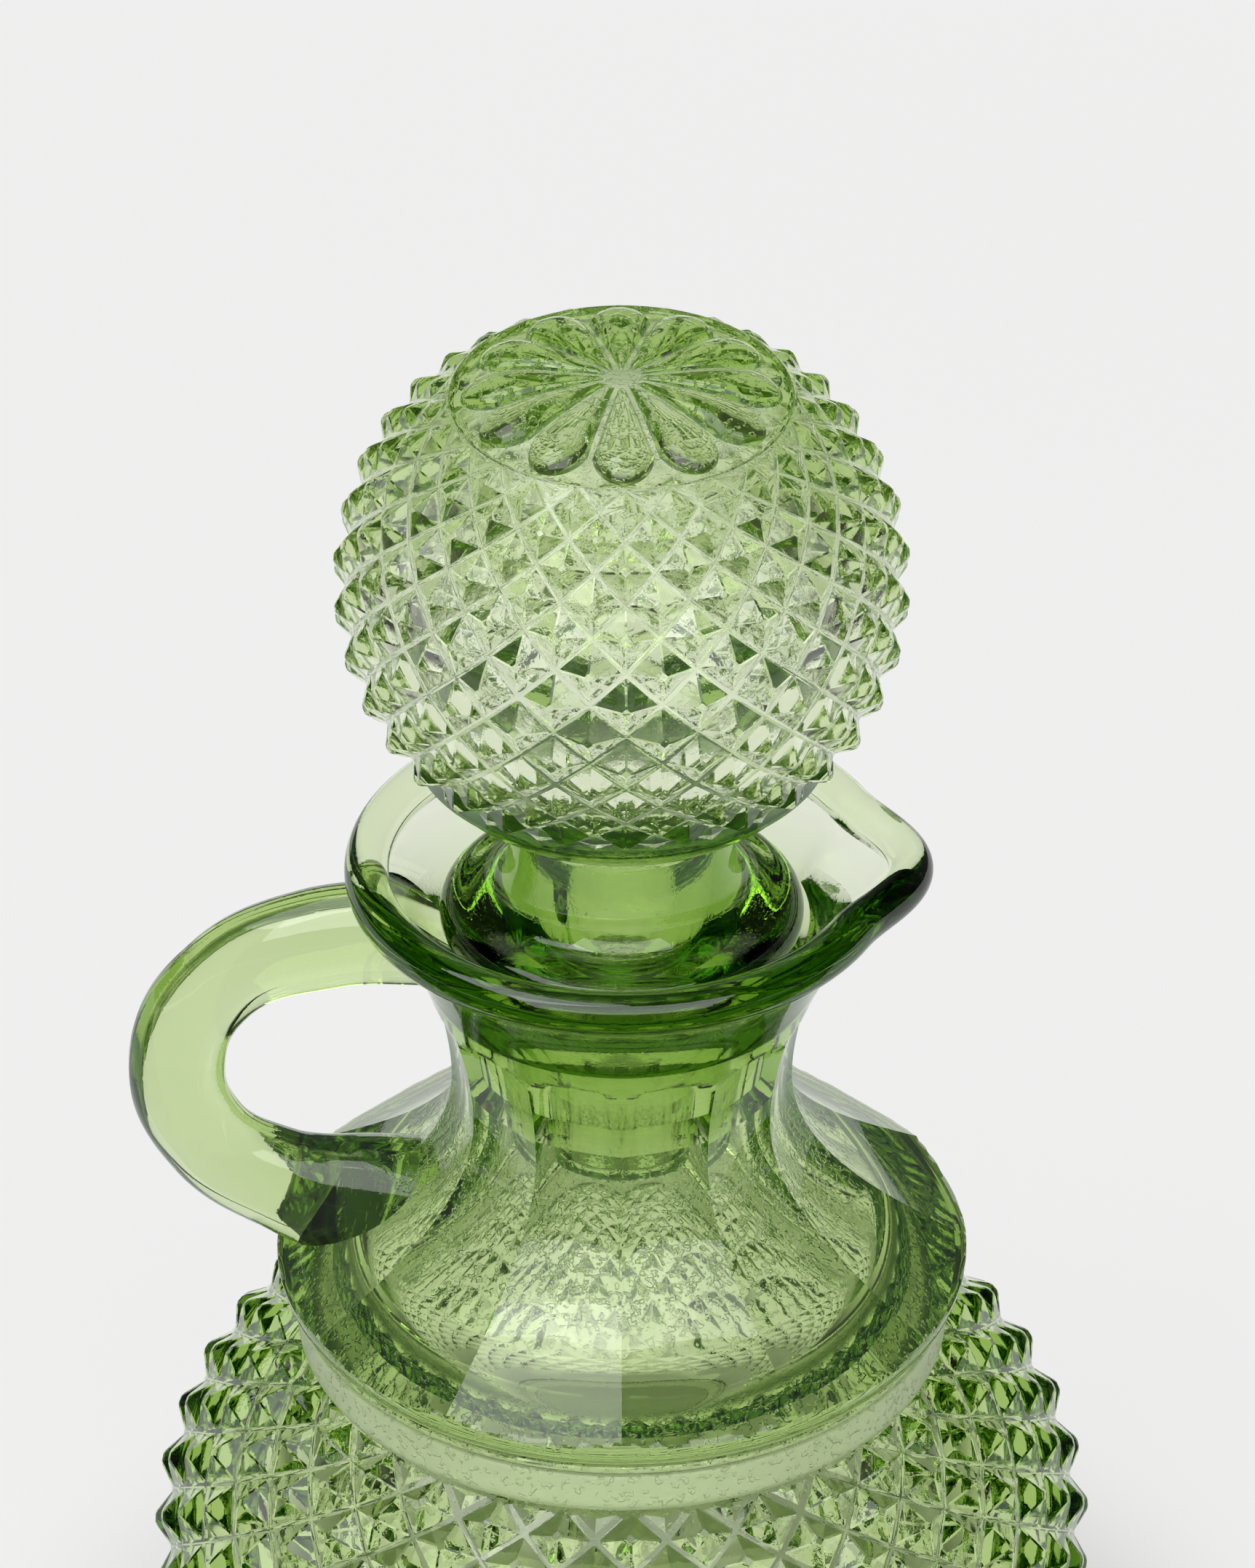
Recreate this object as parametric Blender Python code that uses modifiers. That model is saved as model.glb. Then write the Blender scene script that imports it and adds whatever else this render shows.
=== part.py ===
"""Pressed-glass cruet: a diamond-point bottle with a loop handle and a hollow ball stopper.

The bottle and the stopper are turned blanks. Their diamonds, panels, petals and spout are then
pressed into the blanks by moving points. The handle is a bent bar, cut to the bottle's outside.
Lengths are in metres, +Z is up, and the origin is at the middle of the foot.
"""
import math

import bmesh
import bpy
from mathutils import Vector
from mathutils.geometry import interpolate_bezier

MM = 0.001

# Clearances between the pieces of glass
SEAT_GAP = 0.3 * MM
PLUG_GAP = 0.35 * MM
HANDLE_GAP = 0.3 * MM

# Foot
FOOT_RADIUS = 27.4 * MM
FOOT_HEIGHT = 7.0 * MM
FOOT_WAIST = 0.8 * MM
FOOT_WAIST_RISE = 3.9 * MM
FOOT_RING_WIDTH = 5.5 * MM
FOOT_EDGE = 1.2 * MM
FOOT_RECESS = 1.6 * MM

# Body, a squat globe with a belt of diamond points
BODY_RADIUS = 48.1 * MM
BODY_HALF_HEIGHT = 36.0 * MM
BODY_WALL = 5.5 * MM
BODY_COLUMNS = 30
BODY_ROWS = 16
BODY_BELT_MIDDLE = math.radians(2.5)
BODY_DIAMOND_ASPECT = 1.05
BODY_POINT_RISE = 1.6 * MM
BODY_FADE_ROWS = 1
CHAMBER_FLOOR_LATITUDE = math.radians(-72.0)
CHAMBER_TOP_LATITUDE = math.radians(40.0)

# Collar and shoulder disc
COLLAR_RADIUS = 34.0 * MM
COLLAR_HEIGHT = 6.4 * MM
COLLAR_GROOVE_DEPTH = 0.6 * MM
COLLAR_GROOVE_DROP = 1.0 * MM
COLLAR_EDGE = 1.0 * MM
DISC_RADIUS = 36.0 * MM
DISC_EDGE = 4.0 * MM
DISC_UNDER_DEGREES = -60

# Neck with its pressed panels
NECK_RADIUS = 17.6 * MM
NECK_RISE = 21.5 * MM
NECK_FLARE_SPREAD = 3.6 * MM
NECK_FLARE_DROP = 4.6 * MM
NECK_FLARE_RISE = 7.7 * MM
SHOULDER_DROP = 8.2 * MM
SHOULDER_SPREAD = 4.9 * MM
SHOULDER_LIFT = 0.4 * MM
SHOULDER_INSIDE_RISE = 7.0 * MM
SHOULDER_INSIDE_SPREAD = 1.5 * MM
SHOULDER_INSIDE_DROP = 9.0 * MM
PANELS = 12
PANEL_ARCH_TOP = 12.0 * MM
PANEL_ARCH_RISE = 2.4 * MM
PANEL_FADE = 2.0 * MM
PANEL_CUSP_INSET = 2.4 * MM
PANEL_END_INSET = 0.4 * MM

# Mouth, lip and spout
MOUTH_RISE = 25.8 * MM
LIP_RADIUS = 28.4 * MM
LIP_EDGE = 2.3 * MM
LIP_TUCK = 0.7 * MM
LIP_CREASE = 0.2 * MM
LIP_UNDER_DEGREES = -80
LIP_INNER_DEGREES = 200
LIP_CREST_DEGREES = 105
SPOUT_REACH = 3.5 * MM
SPOUT_HALF_ANGLE = math.radians(27.0)
SPOUT_DEPTH = 14.0 * MM
SEAT_RADIUS = 19.3 * MM
SEAT_DROP = 5.8 * MM
SEAT_HEIGHT = 8.4 * MM
BORE_RADIUS = 10.2 * MM
BORE_TAPER = 0.5 * MM
BORE_LENGTH = 20.5 * MM

# Stopper
FLANGE_EDGE = 2.4 * MM
STEM_RADIUS = 11.6 * MM
STEM_HEIGHT = 11.1 * MM
STEM_FLARE_HEIGHT = 6.1 * MM
STEM_FLARE_DROP = 3.7 * MM
STEM_FLARE_SPREAD = 1.4 * MM
BALL_RADIUS = 27.8 * MM
BALL_COLUMNS = 24
BALL_ROWS = 14
BALL_BELT_MIDDLE = math.radians(6.0)
BALL_DIAMOND_ASPECT = 0.978
BALL_POINT_RISE = 1.5 * MM
BALL_FADE_ROWS = 3
BALL_PLAIN_RISE = 1.1 * MM
BALL_PLAIN_DROP = math.radians(3.0)
BALL_WALL = 4.0 * MM
BALL_CROWN_WALL = 5.8 * MM
DOME_RISE = 3.0 * MM
DOME_RINGS = (0.0, 0.24, 0.42, 0.6, 0.78, 0.9)
PETALS = 12
PETAL_RISE = 1.2 * MM
PETAL_INNER = 4.0 * MM
PETAL_OUTER_INSET = 1.6 * MM
PLUG_LENGTH = 17.5 * MM
PLUG_BORE = 5.5 * MM

# Handle, a bent bar in the XZ plane
HANDLE_RADIUS = 5.0 * MM
HANDLE_HALF_WIDTH = 4.15 * MM
HANDLE_END_RADIUS = 5.65 * MM
HANDLE_REACH = 51.0 * MM
HANDLE_SINK = 9.0 * MM
HANDLE_TOP_DROP = 1.5 * MM
HANDLE_FOOT_RISE = 6.3 * MM
HANDLE_FOOT_SLOPE = 1.6 * MM
# Middle line: share of the way out from the neck, share of the way up, and radius of the bar
HANDLE_ROUTE = (
    (0.00, 1.02, HANDLE_END_RADIUS),
    (0.48, 1.00, HANDLE_END_RADIUS),
    (0.84, 0.84, HANDLE_RADIUS),
    (1.00, 0.52, HANDLE_RADIUS),
    (0.90, 0.23, HANDLE_RADIUS),
    (0.64, 0.06, HANDLE_END_RADIUS),
)

# Steps of the turned blanks: two per diamond column
BODY_STEPS = 2 * BODY_COLUMNS
BALL_STEPS = 2 * BALL_COLUMNS
FORM_TOLERANCE = 0.005 * MM

# Heights that follow from the sizes above
BODY_CENTRE_Z = FOOT_HEIGHT + BODY_HALF_HEIGHT * math.sqrt(1.0 - (FOOT_RADIUS / BODY_RADIUS) ** 2)


def belt_latitudes(columns, rows, aspect, middle):
    """Latitudes of a belt's rows, spaced so that each diamond keeps its shape up the globe."""
    step = aspect * math.pi / columns
    return [middle + math.atan(math.sinh((rows / 2 - row) * step)) for row in range(rows + 1)]


BODY_LATITUDES = belt_latitudes(BODY_COLUMNS, BODY_ROWS, BODY_DIAMOND_ASPECT, BODY_BELT_MIDDLE)
BALL_LATITUDES = belt_latitudes(BALL_COLUMNS, BALL_ROWS, BALL_DIAMOND_ASPECT, BALL_BELT_MIDDLE)

COLLAR_FOOT_Z = BODY_CENTRE_Z + BODY_HALF_HEIGHT * math.sin(BODY_LATITUDES[0])
COLLAR_TOP_Z = COLLAR_FOOT_Z + COLLAR_HEIGHT
DISC_Z = COLLAR_TOP_Z + DISC_EDGE
NECK_Z = DISC_Z + NECK_RISE
LIP_Z = NECK_Z + MOUTH_RISE
SEAT_Z = LIP_Z - SEAT_DROP
BORE_TOP_Z = SEAT_Z - SEAT_HEIGHT
BORE_FOOT_Z = BORE_TOP_Z - BORE_LENGTH
LIP_RING = LIP_RADIUS - LIP_EDGE
DISC_RING = DISC_RADIUS - DISC_EDGE
BALL_PLAIN = BALL_RADIUS + BALL_PLAIN_RISE


def globe(radius, half_height, centre_z, latitude):
    """Point of a globe's outline at a latitude."""
    return (radius * math.cos(latitude), centre_z + half_height * math.sin(latitude))


def arc(centre, radius, start, end, steps):
    """Points of an arc in the profile plane, angles in degrees from +X."""
    points = []
    for step in range(steps + 1):
        angle = math.radians(start + (end - start) * step / steps)
        points.append((centre[0] + radius * math.cos(angle), centre[1] + radius * math.sin(angle)))
    return points


def sweep(start, leave, arrive, end, steps):
    """Points of a Bezier stretch of profile between two points."""
    knots = [Vector((r, z, 0.0)) for r, z in (start, leave, arrive, end)]
    return [(p.x, p.y) for p in interpolate_bezier(*knots, steps + 1)]


def smoothstep(value):
    value = min(max(value, 0.0), 1.0)
    return value * value * (3.0 - 2.0 * value)


def outside_profile():
    """Outside of the bottle, from the crest of the lip down to the edge of the foot's recess."""
    lip = arc((LIP_RING, LIP_Z), LIP_EDGE, 90, LIP_UNDER_DEGREES, 6)
    throat = (LIP_RING - LIP_TUCK, LIP_Z - LIP_EDGE - LIP_CREASE)
    neck = sweep(throat, (throat[0] - NECK_FLARE_SPREAD, throat[1] - NECK_FLARE_DROP),
                 (NECK_RADIUS, NECK_Z + NECK_FLARE_RISE), (NECK_RADIUS, NECK_Z), 8)
    disc_top = (DISC_RING, DISC_Z + DISC_EDGE)
    shoulder = sweep((NECK_RADIUS, NECK_Z), (NECK_RADIUS, NECK_Z - SHOULDER_DROP),
                     (NECK_RADIUS + SHOULDER_SPREAD, disc_top[1] + SHOULDER_LIFT), disc_top, 8)
    disc = arc((DISC_RING, DISC_Z), DISC_EDGE, 90, DISC_UNDER_DEGREES, 7)
    groove_z = COLLAR_TOP_Z - COLLAR_GROOVE_DROP
    groove = COLLAR_RADIUS - COLLAR_GROOVE_DEPTH
    collar = [(COLLAR_RADIUS, groove_z + COLLAR_GROOVE_DEPTH), (groove, groove_z),
              (COLLAR_RADIUS, groove_z - COLLAR_GROOVE_DEPTH),
              (COLLAR_RADIUS, COLLAR_FOOT_Z + 2 * COLLAR_EDGE),
              (COLLAR_RADIUS - COLLAR_EDGE, COLLAR_FOOT_Z + 0.5 * COLLAR_EDGE)]
    belt = [globe(BODY_RADIUS, BODY_HALF_HEIGHT, BODY_CENTRE_Z, lat) for lat in BODY_LATITUDES]
    foot_latitude = -math.acos(FOOT_RADIUS / BODY_RADIUS)
    halfway = 0.5 * (BODY_LATITUDES[-1] + foot_latitude)
    bowl = [globe(BODY_RADIUS, BODY_HALF_HEIGHT, BODY_CENTRE_Z, lat) for lat in (halfway, foot_latitude)]
    waist = [(FOOT_RADIUS - FOOT_WAIST, FOOT_WAIST_RISE)]
    edge = arc((FOOT_RADIUS - FOOT_EDGE, FOOT_EDGE), FOOT_EDGE, 10, -90, 3)
    ring = [(FOOT_RADIUS - FOOT_RING_WIDTH, 0.0)]
    return lip + neck + shoulder[1:-1] + disc + collar + belt + bowl + waist + edge + ring


def inside_profile():
    """Inside of the bottle, from the middle of its floor up to the inner side of the lip."""
    radius = BODY_RADIUS - BODY_WALL
    half_height = BODY_HALF_HEIGHT - BODY_WALL
    span = CHAMBER_TOP_LATITUDE - CHAMBER_FLOOR_LATITUDE
    latitudes = [CHAMBER_FLOOR_LATITUDE + span * step / 9 for step in range(10)]
    chamber = [globe(radius, half_height, BODY_CENTRE_Z, lat) for lat in latitudes]
    collar = (COLLAR_RADIUS - BODY_WALL, COLLAR_FOOT_Z + 0.5 * COLLAR_HEIGHT)
    bore_foot = (BORE_RADIUS - BORE_TAPER, BORE_FOOT_Z)
    arrive = (bore_foot[0] + SHOULDER_INSIDE_SPREAD, bore_foot[1] - SHOULDER_INSIDE_DROP)
    shoulder = sweep(collar, (collar[0], collar[1] + SHOULDER_INSIDE_RISE), arrive, bore_foot, 7)
    bore = [(BORE_RADIUS, BORE_TOP_Z)]
    seat = [(SEAT_RADIUS, SEAT_Z)]
    rim = arc((LIP_RING, LIP_Z), LIP_EDGE, LIP_INNER_DEGREES, LIP_CREST_DEGREES, 3)
    floor = [(0.0, chamber[0][1])]
    return floor + chamber + shoulder + bore + seat + rim


def underside_profile():
    """Underside of the foot, from the edge of its recess to the axis."""
    return [(FOOT_RADIUS - FOOT_RING_WIDTH - FOOT_RECESS, FOOT_RECESS), (0.0, FOOT_RECESS)]


def flange_profile():
    """Stopper from its stem's foot down to the plug's top, in heights from the seat."""
    cone_rise = SEAT_GAP * math.hypot(SEAT_HEIGHT, SEAT_RADIUS - BORE_RADIUS) / (SEAT_RADIUS - BORE_RADIUS)
    slope = SEAT_HEIGHT / (SEAT_RADIUS - BORE_RADIUS)
    rim_radius = SEAT_RADIUS - 2.0 * SEAT_GAP
    ring = rim_radius - FLANGE_EDGE
    cone_angle = -math.degrees(math.atan2(1.0, slope))
    rim_foot_z = cone_rise - slope * (SEAT_RADIUS - ring - FLANGE_EDGE * math.cos(math.radians(cone_angle)))
    centre = (ring, rim_foot_z - FLANGE_EDGE * math.sin(math.radians(cone_angle)))
    plug_top = (BORE_RADIUS - PLUG_GAP, cone_rise - slope * (SEAT_RADIUS - BORE_RADIUS + PLUG_GAP))
    return arc(centre, FLANGE_EDGE, 90, cone_angle, 5) + [plug_top]


def stopper_profile():
    """Outline of the stopper in heights from the seat, from its crown down and up inside."""
    flange = flange_profile()
    plug_top = flange[-1]
    taper = BORE_TAPER * PLUG_LENGTH / BORE_LENGTH
    plug_foot = (plug_top[0] - taper, plug_top[1] - PLUG_LENGTH)
    stem_foot_z = flange[0][1]
    ball_foot_latitude = -math.acos(STEM_RADIUS / BALL_PLAIN)
    centre_z = ball_centre()
    belt = [globe(BALL_RADIUS, BALL_RADIUS, centre_z, lat) for lat in BALL_LATITUDES]
    ring = belt[0]
    dome = []
    for share in DOME_RINGS:
        dome.append((share * ring[0], ring[1] + DOME_RISE * (1.0 - share * share)))
    start = BALL_LATITUDES[-1] - BALL_PLAIN_DROP
    plain = [globe(BALL_PLAIN, BALL_PLAIN, centre_z, start + (ball_foot_latitude - start) * step / 3)
             for step in range(4)]
    flare = (STEM_RADIUS, stem_foot_z + STEM_FLARE_HEIGHT)
    stem = sweep(flare, (STEM_RADIUS, flare[1] - STEM_FLARE_DROP),
                 (STEM_RADIUS + STEM_FLARE_SPREAD, stem_foot_z), flange[0], 3)
    plug = [plug_foot, (PLUG_BORE, plug_foot[1])]
    hollow = BALL_RADIUS - BALL_WALL
    crown = ring[1] + DOME_RISE - BALL_CROWN_WALL - centre_z
    throat_latitude = -math.acos(min(1.0, PLUG_BORE / hollow))
    inside = []
    for step in range(9):
        latitude = throat_latitude + (0.5 * math.pi - throat_latitude) * step / 8
        height = crown if latitude > 0 else hollow
        inside.append(globe(hollow, height, centre_z, latitude))
    inside[-1] = (0.0, centre_z + crown)
    return dome + belt + plain + stem[:-1] + flange + plug + inside


def ball_centre():
    """Height of the ball's centre above the seat."""
    stem_foot_z = flange_profile()[0][1]
    return stem_foot_z + STEM_HEIGHT + math.sqrt(BALL_PLAIN ** 2 - STEM_RADIUS ** 2)


def turned(name, profile, steps, collection):
    """Object turned about Z from a profile that runs down its outer side."""
    mesh = bpy.data.meshes.new(name)
    points = [(r, 0.0, z) for r, z in profile]
    mesh.from_pydata(points, [(i, i + 1) for i in range(len(points) - 1)], [])
    obj = bpy.data.objects.new(name, mesh)
    collection.objects.link(obj)
    screw = obj.modifiers.new("Turn", "SCREW")
    screw.axis = "Z"
    screw.steps = steps
    screw.render_steps = steps
    screw.use_merge_vertices = True
    screw.merge_threshold = 0.01 * MM
    bake(obj)
    return obj


def bake(obj):
    """Replace an object's mesh by what its modifiers make of it."""
    bpy.context.view_layer.update()
    graph = bpy.context.evaluated_depsgraph_get()
    mesh = bpy.data.meshes.new_from_object(obj.evaluated_get(graph))
    old = obj.data
    obj.modifiers.clear()
    obj.data = mesh
    mesh.name = obj.name
    bpy.data.meshes.remove(old)


def press_diamonds(form, latitudes, radius, half_height, centre_z, columns, rise, fade_rows):
    """Push every other point of a belt out along its normal, and crease the grooves between.

    The points of the belt's top rows rise less, over a number of fade rows.
    """
    half_column = math.pi / columns
    rows = {}
    for row, latitude in enumerate(latitudes):
        ring_radius, z = globe(radius, half_height, centre_z, latitude)
        for vert in form.verts:
            reach = math.hypot(vert.co.x, vert.co.y)
            if abs(vert.co.z - z) < FORM_TOLERANCE and abs(reach - ring_radius) < FORM_TOLERANCE:
                column = round(math.atan2(vert.co.x, -vert.co.y) / half_column)
                rows[vert] = (row, column)
    grooves = {vert for vert, (row, column) in rows.items() if (row + column) % 2 == 0}
    belt_faces = [face for face in form.faces if all(vert in rows for vert in face.verts)]
    for face in belt_faces:
        ends = [vert for vert in face.verts if vert in grooves]
        if len(ends) == 2:
            bmesh.utils.face_split(face, ends[0], ends[1])
    last = len(latitudes) - 1
    for vert, (row, column) in rows.items():
        if vert in grooves or row in (0, last):
            continue
        latitude = latitudes[row]
        azimuth = column * half_column
        out = Vector((math.cos(latitude) / radius * math.sin(azimuth),
                      -math.cos(latitude) / radius * math.cos(azimuth),
                      math.sin(latitude) / half_height))
        vert.co += rise * smoothstep(row / fade_rows) * out.normalized()


def press_panels(form):
    """Flatten the neck and shoulder into panels that meet in sharp ridges."""
    half_panel = math.pi / PANELS
    arch_top = NECK_Z + PANEL_ARCH_TOP
    disc_top = DISC_Z + DISC_EDGE
    for vert in form.verts:
        reach = math.hypot(vert.co.x, vert.co.y)
        outside = reach > (NECK_RADIUS if vert.co.z > disc_top else DISC_RING) - FORM_TOLERANCE
        if not outside or vert.co.z < DISC_Z or vert.co.z > arch_top:
            continue
        azimuth = math.atan2(vert.co.x, -vert.co.y)
        off_middle = (azimuth % (2 * half_panel)) - half_panel
        bow = math.sqrt(max(0.0, 1.0 - (off_middle / half_panel) ** 2))
        arch = arch_top - PANEL_ARCH_RISE * (1.0 - bow)
        end = DISC_RADIUS - PANEL_CUSP_INSET + (PANEL_CUSP_INSET - PANEL_END_INSET) * bow
        depth = smoothstep((arch - vert.co.z) / PANEL_FADE) * smoothstep((end - reach) / PANEL_FADE)
        flat = math.cos(half_panel) / math.cos(off_middle)
        factor = 1.0 - depth * (1.0 - flat)
        vert.co.x *= factor
        vert.co.y *= factor


def draw_spout(form):
    """Draw the lip and the flare under it out into a spout at +X."""
    foot_z = LIP_Z - SPOUT_DEPTH
    inner_limit = SEAT_RADIUS + FORM_TOLERANCE
    for vert in form.verts:
        reach = math.hypot(vert.co.x, vert.co.y)
        azimuth = math.atan2(vert.co.y, vert.co.x)
        if reach < inner_limit or vert.co.z < foot_z or abs(azimuth) > SPOUT_HALF_ANGLE:
            continue
        side = math.cos(0.5 * math.pi * azimuth / SPOUT_HALF_ANGLE) ** 2
        height = smoothstep((vert.co.z - foot_z) / (LIP_Z - LIP_EDGE - foot_z))
        factor = 1.0 + SPOUT_REACH * side * height / reach
        vert.co.x *= factor
        vert.co.y *= factor


def raise_petals(form, centre_z):
    """Raise a rosette of petals on the stopper's dome."""
    ring_radius, ring_z = globe(BALL_RADIUS, BALL_RADIUS, centre_z, BALL_LATITUDES[0])
    petal_outer = ring_radius - PETAL_OUTER_INSET
    half_petal = math.pi / PETALS
    for vert in form.verts:
        reach = math.hypot(vert.co.x, vert.co.y)
        if vert.co.z < ring_z or not PETAL_INNER < reach < petal_outer:
            continue
        azimuth = math.atan2(vert.co.x, -vert.co.y)
        off_middle = ((azimuth + half_petal) % (2 * half_petal)) - half_petal
        across = math.cos(0.5 * math.pi * off_middle / half_petal) ** 2
        along = math.sin(math.pi * (reach - PETAL_INNER) / (petal_outer - PETAL_INNER))
        vert.co.z += PETAL_RISE * across * along


def press(obj, *steps):
    """Open an object's mesh, run each pressing step on it and close it again."""
    form = bmesh.new()
    form.from_mesh(obj.data)
    bmesh.ops.remove_doubles(form, verts=form.verts, dist=FORM_TOLERANCE)
    for step in steps:
        step(form)
    form.normal_update()
    form.to_mesh(obj.data)
    form.free()
    obj.data.shade_smooth()
    obj.data.set_sharp_from_angle(angle=math.radians(25))


def press_body(form):
    press_diamonds(form, BODY_LATITUDES, BODY_RADIUS, BODY_HALF_HEIGHT, BODY_CENTRE_Z, BODY_COLUMNS,
                   BODY_POINT_RISE, BODY_FADE_ROWS)


def press_ball(form):
    press_diamonds(form, BALL_LATITUDES, BALL_RADIUS, BALL_RADIUS, ball_centre(), BALL_COLUMNS,
                   BALL_POINT_RISE, BALL_FADE_ROWS)
    raise_petals(form, ball_centre())


def make_bottle(collection):
    profile = inside_profile() + outside_profile() + underside_profile()
    bottle = turned("bottle", profile, BODY_STEPS, collection)
    press(bottle, press_body, press_panels, draw_spout)
    return bottle


def make_handle_cutter(collection):
    """Outside of the bottle, filled and grown by the gap, to cut the handle's ends."""
    crest = outside_profile()[0]
    profile = [(0.0, crest[1])] + outside_profile() + underside_profile()
    cutter = turned("handle_cutter", profile, BODY_STEPS, collection)
    press(cutter, press_body, press_panels, draw_spout)
    grow = cutter.modifiers.new("Gap", "DISPLACE")
    grow.mid_level = 0.0
    grow.strength = HANDLE_GAP
    cutter.hide_render = True
    cutter.display_type = "WIRE"
    return cutter


def handle_route():
    """Middle line of the handle from inside the neck to inside the shoulder, with its radius."""
    outer_x = -(HANDLE_REACH - HANDLE_RADIUS)
    root_x = -(LIP_RING - HANDLE_SINK)
    top_z = LIP_Z - LIP_EDGE - HANDLE_TOP_DROP - HANDLE_RADIUS
    foot_x = -(DISC_RING - HANDLE_SINK)
    foot_z = DISC_Z + HANDLE_FOOT_RISE
    route = []
    for out, up, radius in HANDLE_ROUTE:
        route.append((root_x + out * (outer_x - root_x), foot_z + up * (top_z - foot_z), radius))
    route.append((foot_x, foot_z - HANDLE_FOOT_SLOPE, HANDLE_END_RADIUS))
    return route


def make_handle(collection, cutter):
    curve = bpy.data.curves.new("handle_route", "CURVE")
    curve.dimensions = "3D"
    curve.bevel_depth = HANDLE_RADIUS
    curve.bevel_resolution = 4
    curve.use_fill_caps = True
    curve.resolution_u = 6
    route = handle_route()
    spline = curve.splines.new("BEZIER")
    spline.bezier_points.add(len(route) - 1)
    for point, (x, z, radius) in zip(spline.bezier_points, route):
        point.co = (x, 0.0, z)
        point.radius = radius / HANDLE_RADIUS
        point.handle_left_type = "AUTO"
        point.handle_right_type = "AUTO"
    bar = bpy.data.objects.new("handle_route", curve)
    collection.objects.link(bar)
    bpy.context.view_layer.update()
    graph = bpy.context.evaluated_depsgraph_get()
    mesh = bpy.data.meshes.new_from_object(bar.evaluated_get(graph))
    mesh.name = "handle"
    handle = bpy.data.objects.new("handle", mesh)
    handle.matrix_world = bar.matrix_world
    collection.objects.link(handle)
    bpy.data.objects.remove(bar)
    form = bmesh.new()
    form.from_mesh(mesh)
    bmesh.ops.remove_doubles(form, verts=form.verts, dist=FORM_TOLERANCE)
    bmesh.ops.scale(form, vec=(1.0, HANDLE_HALF_WIDTH / HANDLE_RADIUS, 1.0), verts=form.verts)
    bmesh.ops.recalc_face_normals(form, faces=form.faces)
    form.to_mesh(mesh)
    form.free()
    mesh.shade_smooth()
    cut = handle.modifiers.new("Fit", "BOOLEAN")
    cut.operation = "DIFFERENCE"
    cut.object = cutter
    return handle


def make_stopper(collection):
    """The stopper, with its origin on the axis at the seat that it rests on."""
    stopper = turned("stopper", stopper_profile(), BALL_STEPS, collection)
    press(stopper, press_ball)
    axis = bpy.data.objects.new("stopper_axis", None)
    axis.location = (0.0, 0.0, SEAT_Z)
    collection.objects.link(axis)
    stopper.parent = axis
    return stopper


def glass(name, colour, roughness):
    material = bpy.data.materials.new(name)
    material.use_nodes = True
    shader = material.node_tree.nodes["Principled BSDF"]
    shader.inputs["Base Color"].default_value = (*colour, 1.0)
    shader.inputs["Roughness"].default_value = roughness
    shader.inputs["Metallic"].default_value = 0.0
    shader.inputs["Transmission Weight"].default_value = 1.0
    shader.inputs["IOR"].default_value = 1.52
    material.diffuse_color = (*colour, 1.0)
    return material


def main():
    for obj in list(bpy.data.objects):
        bpy.data.objects.remove(obj)
    scene = bpy.context.scene.collection
    parts = bpy.data.collections.new("glass_cruet")
    cutters = bpy.data.collections.new("cutters")
    scene.children.link(parts)
    scene.children.link(cutters)
    bottle = make_bottle(parts)
    cutter = make_handle_cutter(cutters)
    handle = make_handle(parts, cutter)
    stopper = make_stopper(parts)
    bottle.data.materials.append(glass("bottle_glass", (0.25, 0.45, 0.08), 0.05))
    handle.data.materials.append(glass("handle_glass", (0.27, 0.47, 0.10), 0.03))
    stopper.data.materials.append(glass("stopper_glass", (0.30, 0.50, 0.14), 0.06))
    bpy.context.view_layer.update()


main()
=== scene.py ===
"""Looks of a green pressed-glass cruet: a diamond-point bottle with a handle, and a ball stopper.

The file is laid out as an add-on and is run as a script. Lengths are in metres, +Z is up, the
spout points to +X, and the origin is in the middle of the foot.
"""
import math
from types import SimpleNamespace

import bmesh
import bpy
from bpy.props import FloatProperty, FloatVectorProperty, IntProperty, PointerProperty
from mathutils import Matrix, Vector
from mathutils.geometry import interpolate_bezier


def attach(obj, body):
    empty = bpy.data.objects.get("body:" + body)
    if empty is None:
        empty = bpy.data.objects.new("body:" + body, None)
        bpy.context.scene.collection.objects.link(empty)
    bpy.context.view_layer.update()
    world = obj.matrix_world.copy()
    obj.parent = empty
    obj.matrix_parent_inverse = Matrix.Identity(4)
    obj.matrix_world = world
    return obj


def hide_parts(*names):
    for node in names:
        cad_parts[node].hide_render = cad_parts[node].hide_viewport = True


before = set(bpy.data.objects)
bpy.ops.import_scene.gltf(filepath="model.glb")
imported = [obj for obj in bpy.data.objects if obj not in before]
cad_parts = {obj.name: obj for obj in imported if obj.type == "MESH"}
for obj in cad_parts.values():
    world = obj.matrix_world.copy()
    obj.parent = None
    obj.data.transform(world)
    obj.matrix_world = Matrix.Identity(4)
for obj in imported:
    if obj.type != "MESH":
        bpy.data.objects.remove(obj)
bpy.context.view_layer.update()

bl_info = {
    "name": "Pressed Glass Cruet",
    "version": (1, 0, 0),
    "blender": (4, 5, 0),
    "location": "3D View > Sidebar > Cruet",
    "description": "Builds a green diamond-point cruet with a handle and a hollow ball stopper",
    "category": "Add Mesh",
}

MM = 0.001
WELD = 0.01 * MM
SHARP_ANGLE = math.radians(13.0)
# How far a point may lie from a globe, as a share of its size, and still count as on it
GLOBE_TOLERANCE = 0.0008
# Radius under which a point of the shoulder is on its inside, as a share of the ridge's radius
INSIDE_SHARE = 0.88
# How far a point may lie from the ball's hollow, or from the rosette's flats, and count as on it
HOLLOW_TOLERANCE = 0.2 * MM
FLAT_TOLERANCE = 0.05 * MM
# How far off a panel's ridge a point may lie, in radians, and still count as on it
RIDGE_TOLERANCE = 0.001
# Distance over which peel or grain runs in at an edge, and how deep the collar's grain goes
EDGE_FADE = 1.0 * MM
COLLAR_DEPTH = 2.0 * MM
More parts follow.
